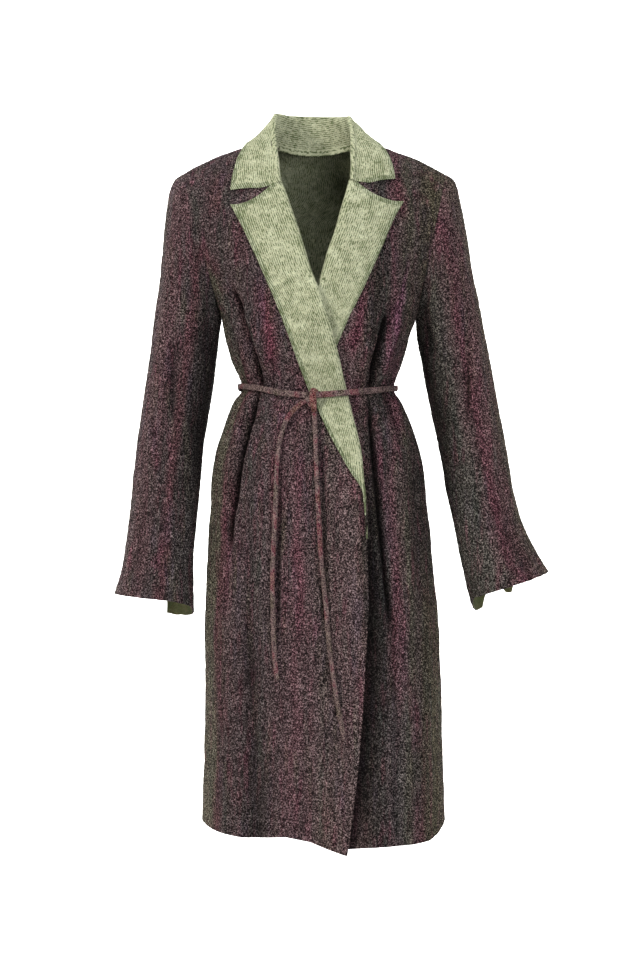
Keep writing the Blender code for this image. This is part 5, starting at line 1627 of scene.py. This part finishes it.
def tweed(name, stops):
    """Brushed double-faced wool tweed: matt, dark, woven in soft bands, with pale curly fibres
    lying on a deep plum ground, so the eye sees a lively grain and no weave. The real fibres are
    too fine to show at this size, so they are drawn about twice as coarse."""
    material, tree, shader = new_material(name, 0.95, 0.02, "#9c8a88")
    stripe = add(tree, "Attribute", output="Fac", attribute_name="stripe_place")
    place = add(tree, "TexCoord", output="Object")
    # the bands waver, by lengths of about 33 mm, and run into each other
    waver = add(tree, "Mapping", {"Vector": place, "Scale": (1.0, 1.0, 0.28)})
    waver = add(tree, "TexNoise", {"Vector": waver, "Scale": 30.0, "Detail": 5.0,
                                   "Roughness": 0.62})
    shift = add(tree, "Math", (waver, BAND_WAVER, -BAND_WAVER / 2.0), operation="MULTIPLY_ADD")
    across = add(tree, "Math", (stripe, shift), operation="ADD")
    colour = add(tree, "ValToRGB", (across,), stops=stops)
    colour.node.color_ramp.interpolation = "EASE"
    # the streaks that stand out, partly painted shade, then those that come and go along the bands
    drawn = add(tree, "Attribute", attribute_name="streak")
    strength = drawn.node.outputs["Alpha"]
    colour = add(tree, "Mix", (strength, colour, drawn), data_type="RGBA")
    for streak in rows_of(TWEED_STREAKS, STREAK_COLUMNS):
        found = add(tree, "Mapping", {"Vector": place, "Location": (streak["start"],) * 3,
                                      "Scale": (1.0, 1.0, 0.12)})
        found = add(tree, "TexNoise", {"Vector": found, "Scale": streak["scale"], "Detail": 3.0,
                                       "Roughness": 0.6})
        low, amount = streak["low"], streak["amount"]
        share = add(tree, "MapRange", (found, low, low + STREAK_SOFTNESS, 0.0, amount))
        colour = add(tree, "Mix", (share, colour, linear(streak["colour"])), data_type="RGBA")
    # the ground between the fibres is much darker, in specks of about 2 mm
    speckle = add(tree, "TexNoise", {"Vector": place, "Scale": 560.0, "Roughness": 0.7})
    dark = add(tree, "ValToRGB", (speckle,), stops=TWEED_GROUND)
    ground = add(tree, "Mix", (1.0, colour, dark), data_type="RGBA", blend_type="MULTIPLY")
    # loose curls 2.4 mm apart, finer and fainter ones 1.5 mm apart, both in clumps of 2 mm
    curl = boucle(tree, place, 0.0024, 0.075, (1.0, 1.0, 0.6))
    fine = boucle(tree, place, 0.0015, 0.09, (1.0, 1.0, 0.8))
    fine = add(tree, "Math", (fine, 0.5), operation="MULTIPLY")
    clumps = add(tree, "TexNoise", {"Vector": place, "Scale": 480.0, "Roughness": 0.6})
    clumps = add(tree, "MapRange", (clumps, 0.42, 0.60, 0.0, 1.0))
    fibres = add(tree, "Math", (curl, fine), operation="MAXIMUM")
    fibres = add(tree, "Math", (fibres, clumps), operation="MULTIPLY")
    light = add(tree, "Mix", (0.85, colour, colour), data_type="RGBA", blend_type="ADD")
    light = add(tree, "Mix", (0.18, light, linear("#dacdc4")), data_type="RGBA")
    colour = add(tree, "Mix", (fibres, ground, light), data_type="RGBA")
    # painted shade: deep in the folds, under the arm and under the right front's edge the colour is
    # painted darker
    shade_amount = add(tree, "Attribute", output="Fac", attribute_name="painted_shade")
    shade = add(tree, "MapRange", (shade_amount, 0.0, 1.0, 1.0, PAINTED_SHADE_DARKEST))
    colour = add(tree, "Mix", (1.0, colour, shade), data_type="RGBA", blend_type="MULTIPLY")
    height = add(tree, "Math", (fibres, speckle), operation="ADD")
    finish_cloth(tree, shader, colour, height, 0.6)
    return material


def green_reverse(name, shade):
    """The cloth's reverse: a dense pale green wool with fine ribs along its length and broken
    dark green flecks in them, greyer and more flecked where its edges are pressed and stitched.
    It is painted darker inside the coat and the sleeves, as painted shade where little light falls."""
    material, tree, shader = new_material(name, 0.93, 0.05, "#e8ecd2")
    weave = add(tree, "UVMap", uv_map="weave")
    place = add(tree, "TexCoord", output="Object")
    band = add(tree, "Attribute", output="Fac", attribute_name="pressed_band")
    to_edge = add(tree, "Attribute", output="Fac", attribute_name="to_edge")
    # it is paler and darker in patches of about 17 mm
    patches = add(tree, "TexNoise", {"Vector": place, "Scale": 60.0, "Detail": 4.0,
                                     "Roughness": 0.65})
    colour = add(tree, "ValToRGB", (patches,), stops=REVERSE_PATCHES)
    # the shade colour darkens the inside copies: painted shade inside the coat and sleeves
    colour = add(tree, "Mix", (1.0, colour, linear(shade)), data_type="RGBA",
                 blend_type="MULTIPLY")
    # ribs 3 mm apart
    ribs = add(tree, "TexWave", {"Vector": weave, "Scale": 105.0, "Distortion": 0.8,
                                 "Detail": 2.0, "Detail Scale": 2.5, "Detail Roughness": 0.6},
               wave_type="BANDS", bands_direction="X")
    # flecks a little over 1 mm wide and five times as long, fewer where it is worn and on ribs
    streak = add(tree, "Mapping", {"Vector": weave, "Scale": (1.0, 0.20, 1.0)})
    streak = add(tree, "TexNoise", {"Vector": streak, "Scale": 760.0, "Roughness": 0.62})
    worn = add(tree, "TexNoise", {"Vector": place, "Scale": 60.0, "Detail": 3.0, "Roughness": 0.6})
    amount = add(tree, "Math", (worn, 0.40, streak), operation="MULTIPLY_ADD")
    amount = add(tree, "Math", (ribs, 0.22, amount), operation="MULTIPLY_ADD")
    amount = add(tree, "Math", (band, -0.11, amount), operation="MULTIPLY_ADD")
    flecks = add(tree, "MapRange", (amount, 0.715, 0.785, 0.92, 0.0))
    pressed = add(tree, "Math", (band, 0.35), operation="MULTIPLY")
    colour = add(tree, "Mix", (pressed, colour, linear("#9a9f8c")), data_type="RGBA")
    colour = add(tree, "Mix", (flecks, colour, linear("#4d573a")), data_type="RGBA")
    # the stitched line, broken where a stitch sinks into the wool
    line = add(tree, "Math", (to_edge, EDGE_BAND), operation="SUBTRACT")
    line = add(tree, "Math", (line,), operation="ABSOLUTE")
    line = add(tree, "MapRange", (line, 0.3, 1.3, 0.5, 0.0))
    broken = add(tree, "TexNoise", {"Vector": place, "Scale": 300.0, "Roughness": 0.6})
    broken = add(tree, "MapRange", (broken, 0.40, 0.52, 0.0, 1.0))
    line = add(tree, "Math", (line, broken), operation="MULTIPLY")
    stitched = add(tree, "Math", (to_edge, 0.01), operation="GREATER_THAN")
    line = add(tree, "Math", (line, stitched), operation="MULTIPLY")
    colour = add(tree, "Mix", (line, colour, linear("#4c5638")), data_type="RGBA")
    # the brushed surface, a grain of about 2 mm
    grain = add(tree, "TexNoise", {"Vector": place, "Scale": 560.0, "Roughness": 0.7})
    dark = add(tree, "ValToRGB", (grain,), stops=REVERSE_GRAIN)
    colour = add(tree, "Mix", (1.0, colour, dark), data_type="RGBA", blend_type="MULTIPLY")
    height = add(tree, "Math", (ribs, 0.35, grain), operation="MULTIPLY_ADD")
    finish_cloth(tree, shader, colour, height, 0.4)
    return material


def belt_tweed(name, stops):
    """The tie belt's cloth: the same tweed turned into a narrow band, so its fibres look coarser
    and it changes colour along its length as the bands of the tweed cross it."""
    material, tree, shader = new_material(name, 0.93, 0.03, "#9c8a88")
    place = add(tree, "TexCoord", output="Object")
    # bands about 22 mm wide
    bands = add(tree, "Mapping", {"Vector": place, "Scale": (1.0, 1.0, 0.6)})
    bands = add(tree, "TexNoise", {"Vector": bands, "Scale": 46.0, "Detail": 3.0, "Roughness": 0.6})
    colour = add(tree, "ValToRGB", (bands,), stops=stops)
    speckle = add(tree, "TexNoise", {"Vector": place, "Scale": 460.0, "Roughness": 0.7})
    dark = add(tree, "ValToRGB", (speckle,), stops=BELT_GROUND)
    ground = add(tree, "Mix", (1.0, colour, dark), data_type="RGBA", blend_type="MULTIPLY")
    light = add(tree, "Mix", (0.42, colour, linear("#b09c8e")), data_type="RGBA")
    curl = boucle(tree, place, 0.0022, 0.08, (1.0, 1.0, 0.9))
    colour = add(tree, "Mix", (curl, ground, light), data_type="RGBA")
    height = add(tree, "Math", (curl, speckle), operation="ADD")
    finish_cloth(tree, shader, colour, height, 0.6)
    return material


def front_stops():
    """The body's stripes by their share of the way round the front."""
    return [(float(skirt_place(x)), colour) for x, colour in FRONT_STRIPES]


def sleeve_stops(rows):
    """A sleeve's stripes by their share of the way round it."""
    return [(turn / 360.0, colour) for turn, colour in rows]


def soft_light(name, place, aim, size, power, colour):
    """A round softbox at a place, turned to its aim."""
    lamp = bpy.data.lights.new(name, "AREA")
    lamp.shape = "DISK"
    lamp.size = size
    lamp.energy = power
    lamp.color = linear(colour)[:3]
    holder = bpy.data.objects.new(name, lamp)
    bpy.context.scene.collection.objects.link(holder)
    holder.location = place
    way = Vector(aim) - Vector(place)
    holder.rotation_euler = way.to_track_quat("-Z", "Y").to_euler()


def backdrop():
    """A pale floor that curves up into a wall behind the coat."""
    bend = [math.radians(a) for a in range(0, 91, 6)]
    line = [(-STAGE_HALF, 0.0)]
    line += [(BACKDROP_Y + BACKDROP_ROUND * math.sin(a), BACKDROP_ROUND * (1.0 - math.cos(a)))
             for a in bend]
    line.append((BACKDROP_Y + BACKDROP_ROUND, BACKDROP_TOP))
    mesh = bpy.data.meshes.new("pale_floor")
    points = [(x, y, FLOOR_Z + z) for y, z in line for x in (-STAGE_HALF, STAGE_HALF)]
    faces = [(2 * i, 2 * i + 1, 2 * i + 3, 2 * i + 2) for i in range(len(line) - 1)]
    mesh.from_pydata(points, [], faces)
    floor = bpy.data.objects.new("pale_floor", mesh)
    bpy.context.scene.collection.objects.link(floor)
    mesh.shade_smooth()
    material = bpy.data.materials.new("painted_floor")
    material.use_nodes = True
    shader = material.node_tree.nodes["Principled BSDF"]
    shader.inputs["Base Color"].default_value = linear("#f4f4f2")
    shader.inputs["Roughness"].default_value = 0.9
    mesh.materials.append(material)


camera_data = bpy.data.cameras.new("camera")
camera_data.sensor_fit = "VERTICAL"
camera_data.sensor_height = SENSOR_HEIGHT
camera_data.lens = SENSOR_HEIGHT * -CAMERA_PLACE[1] / VIEW_HEIGHT
camera = bpy.data.objects.new("camera", camera_data)
bpy.context.scene.collection.objects.link(camera)
camera.location = CAMERA_PLACE
camera.rotation_euler = (math.radians(90.0), 0.0, 0.0)
bpy.context.scene.camera = camera

BELT_CLOTH = belt_tweed("tie_belt_tweed_turned_band", BELT_BANDS)
KNOT_CLOTH = belt_tweed("tie_belt_tweed_knot", KNOT_BANDS)
tail_pieces = [
    ("hanging_end_right", "belt_tail_right", TAIL_RIGHT),
    ("hanging_end_left", "belt_tail_left", TAIL_LEFT),
]
turn_down = knot_strand("knot_turn_down", TURN_DOWN, KNOT_CLOTH)
turn_under = knot_strand("knot_turn_under", TURN_UNDER, BELT_CLOTH)
turn_fold = knot_strand("knot_fold", TURN_FOLD, BELT_CLOTH)
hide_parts("belt_knot")
tail_band(*tail_pieces[0], BELT_CLOTH, [turn_under, turn_fold])
tail_band(*tail_pieces[1], BELT_CLOTH, [turn_down])
waist_belt("waist_belt", "belt", BELT_CLOTH)

# the inside copies are painted darker, as painted shade
REVERSE = green_reverse("green_wool_reverse_brushed", "#ffffff")
INSIDE_PAINTED_SHADE = green_reverse("green_wool_reverse_inside_painted_shade", "#dadada")
SLEEVE_INSIDE_PAINTED_SHADE = green_reverse("green_wool_reverse_inside_painted_shade_sleeves", "#928c78")
BODY_TWEED = tweed("wool_tweed_body_brushed", front_stops())
SLEEVE_TWEEDS = [
    tweed("wool_tweed_sleeve_right_brushed", sleeve_stops(SLEEVE_STRIPES_RIGHT)),
    tweed("wool_tweed_sleeve_left_brushed", sleeve_stops(SLEEVE_STRIPES_LEFT)),
]

body = [
    front_cloth("front_right_cloth", "front_right", "right", (BODY_TWEED, INSIDE_PAINTED_SHADE)),
    front_cloth("front_left_cloth", "front_left", "left", (BODY_TWEED, INSIDE_PAINTED_SHADE)),
    back_cloth("back_cloth", "back", (BODY_TWEED, INSIDE_PAINTED_SHADE)),
    sleeve_cloth("sleeve_right_cloth", "sleeve_right", -1, SLEEVE_RIGHT,
                 (SLEEVE_TWEEDS[0], SLEEVE_INSIDE_PAINTED_SHADE)),
    sleeve_cloth("sleeve_left_cloth", "sleeve_left", 1, SLEEVE_LEFT,
                 (SLEEVE_TWEEDS[1], SLEEVE_INSIDE_PAINTED_SHADE)),
]
turned = [
    lapel_cloth("lapel_right_cloth", "lapel_right", "right", LAPEL_RIGHT, (REVERSE, BODY_TWEED)),
    lapel_cloth("lapel_left_cloth", "lapel_left", "left", LAPEL_LEFT, (REVERSE, BODY_TWEED)),
    collar_cloth("collar_cloth", "collar", (REVERSE, BODY_TWEED)),
]

backdrop()
for light in rows_of(LIGHTS, LIGHT_COLUMNS):
    soft_light(**light)
world = bpy.data.worlds.new("studio_white")
bpy.context.scene.world = world
world.use_nodes = True
world.node_tree.nodes["Background"].inputs["Color"].default_value = linear("#ffffff")
world.node_tree.nodes["Background"].inputs["Strength"].default_value = 0.15
bpy.context.scene.view_settings.view_transform = "Standard"
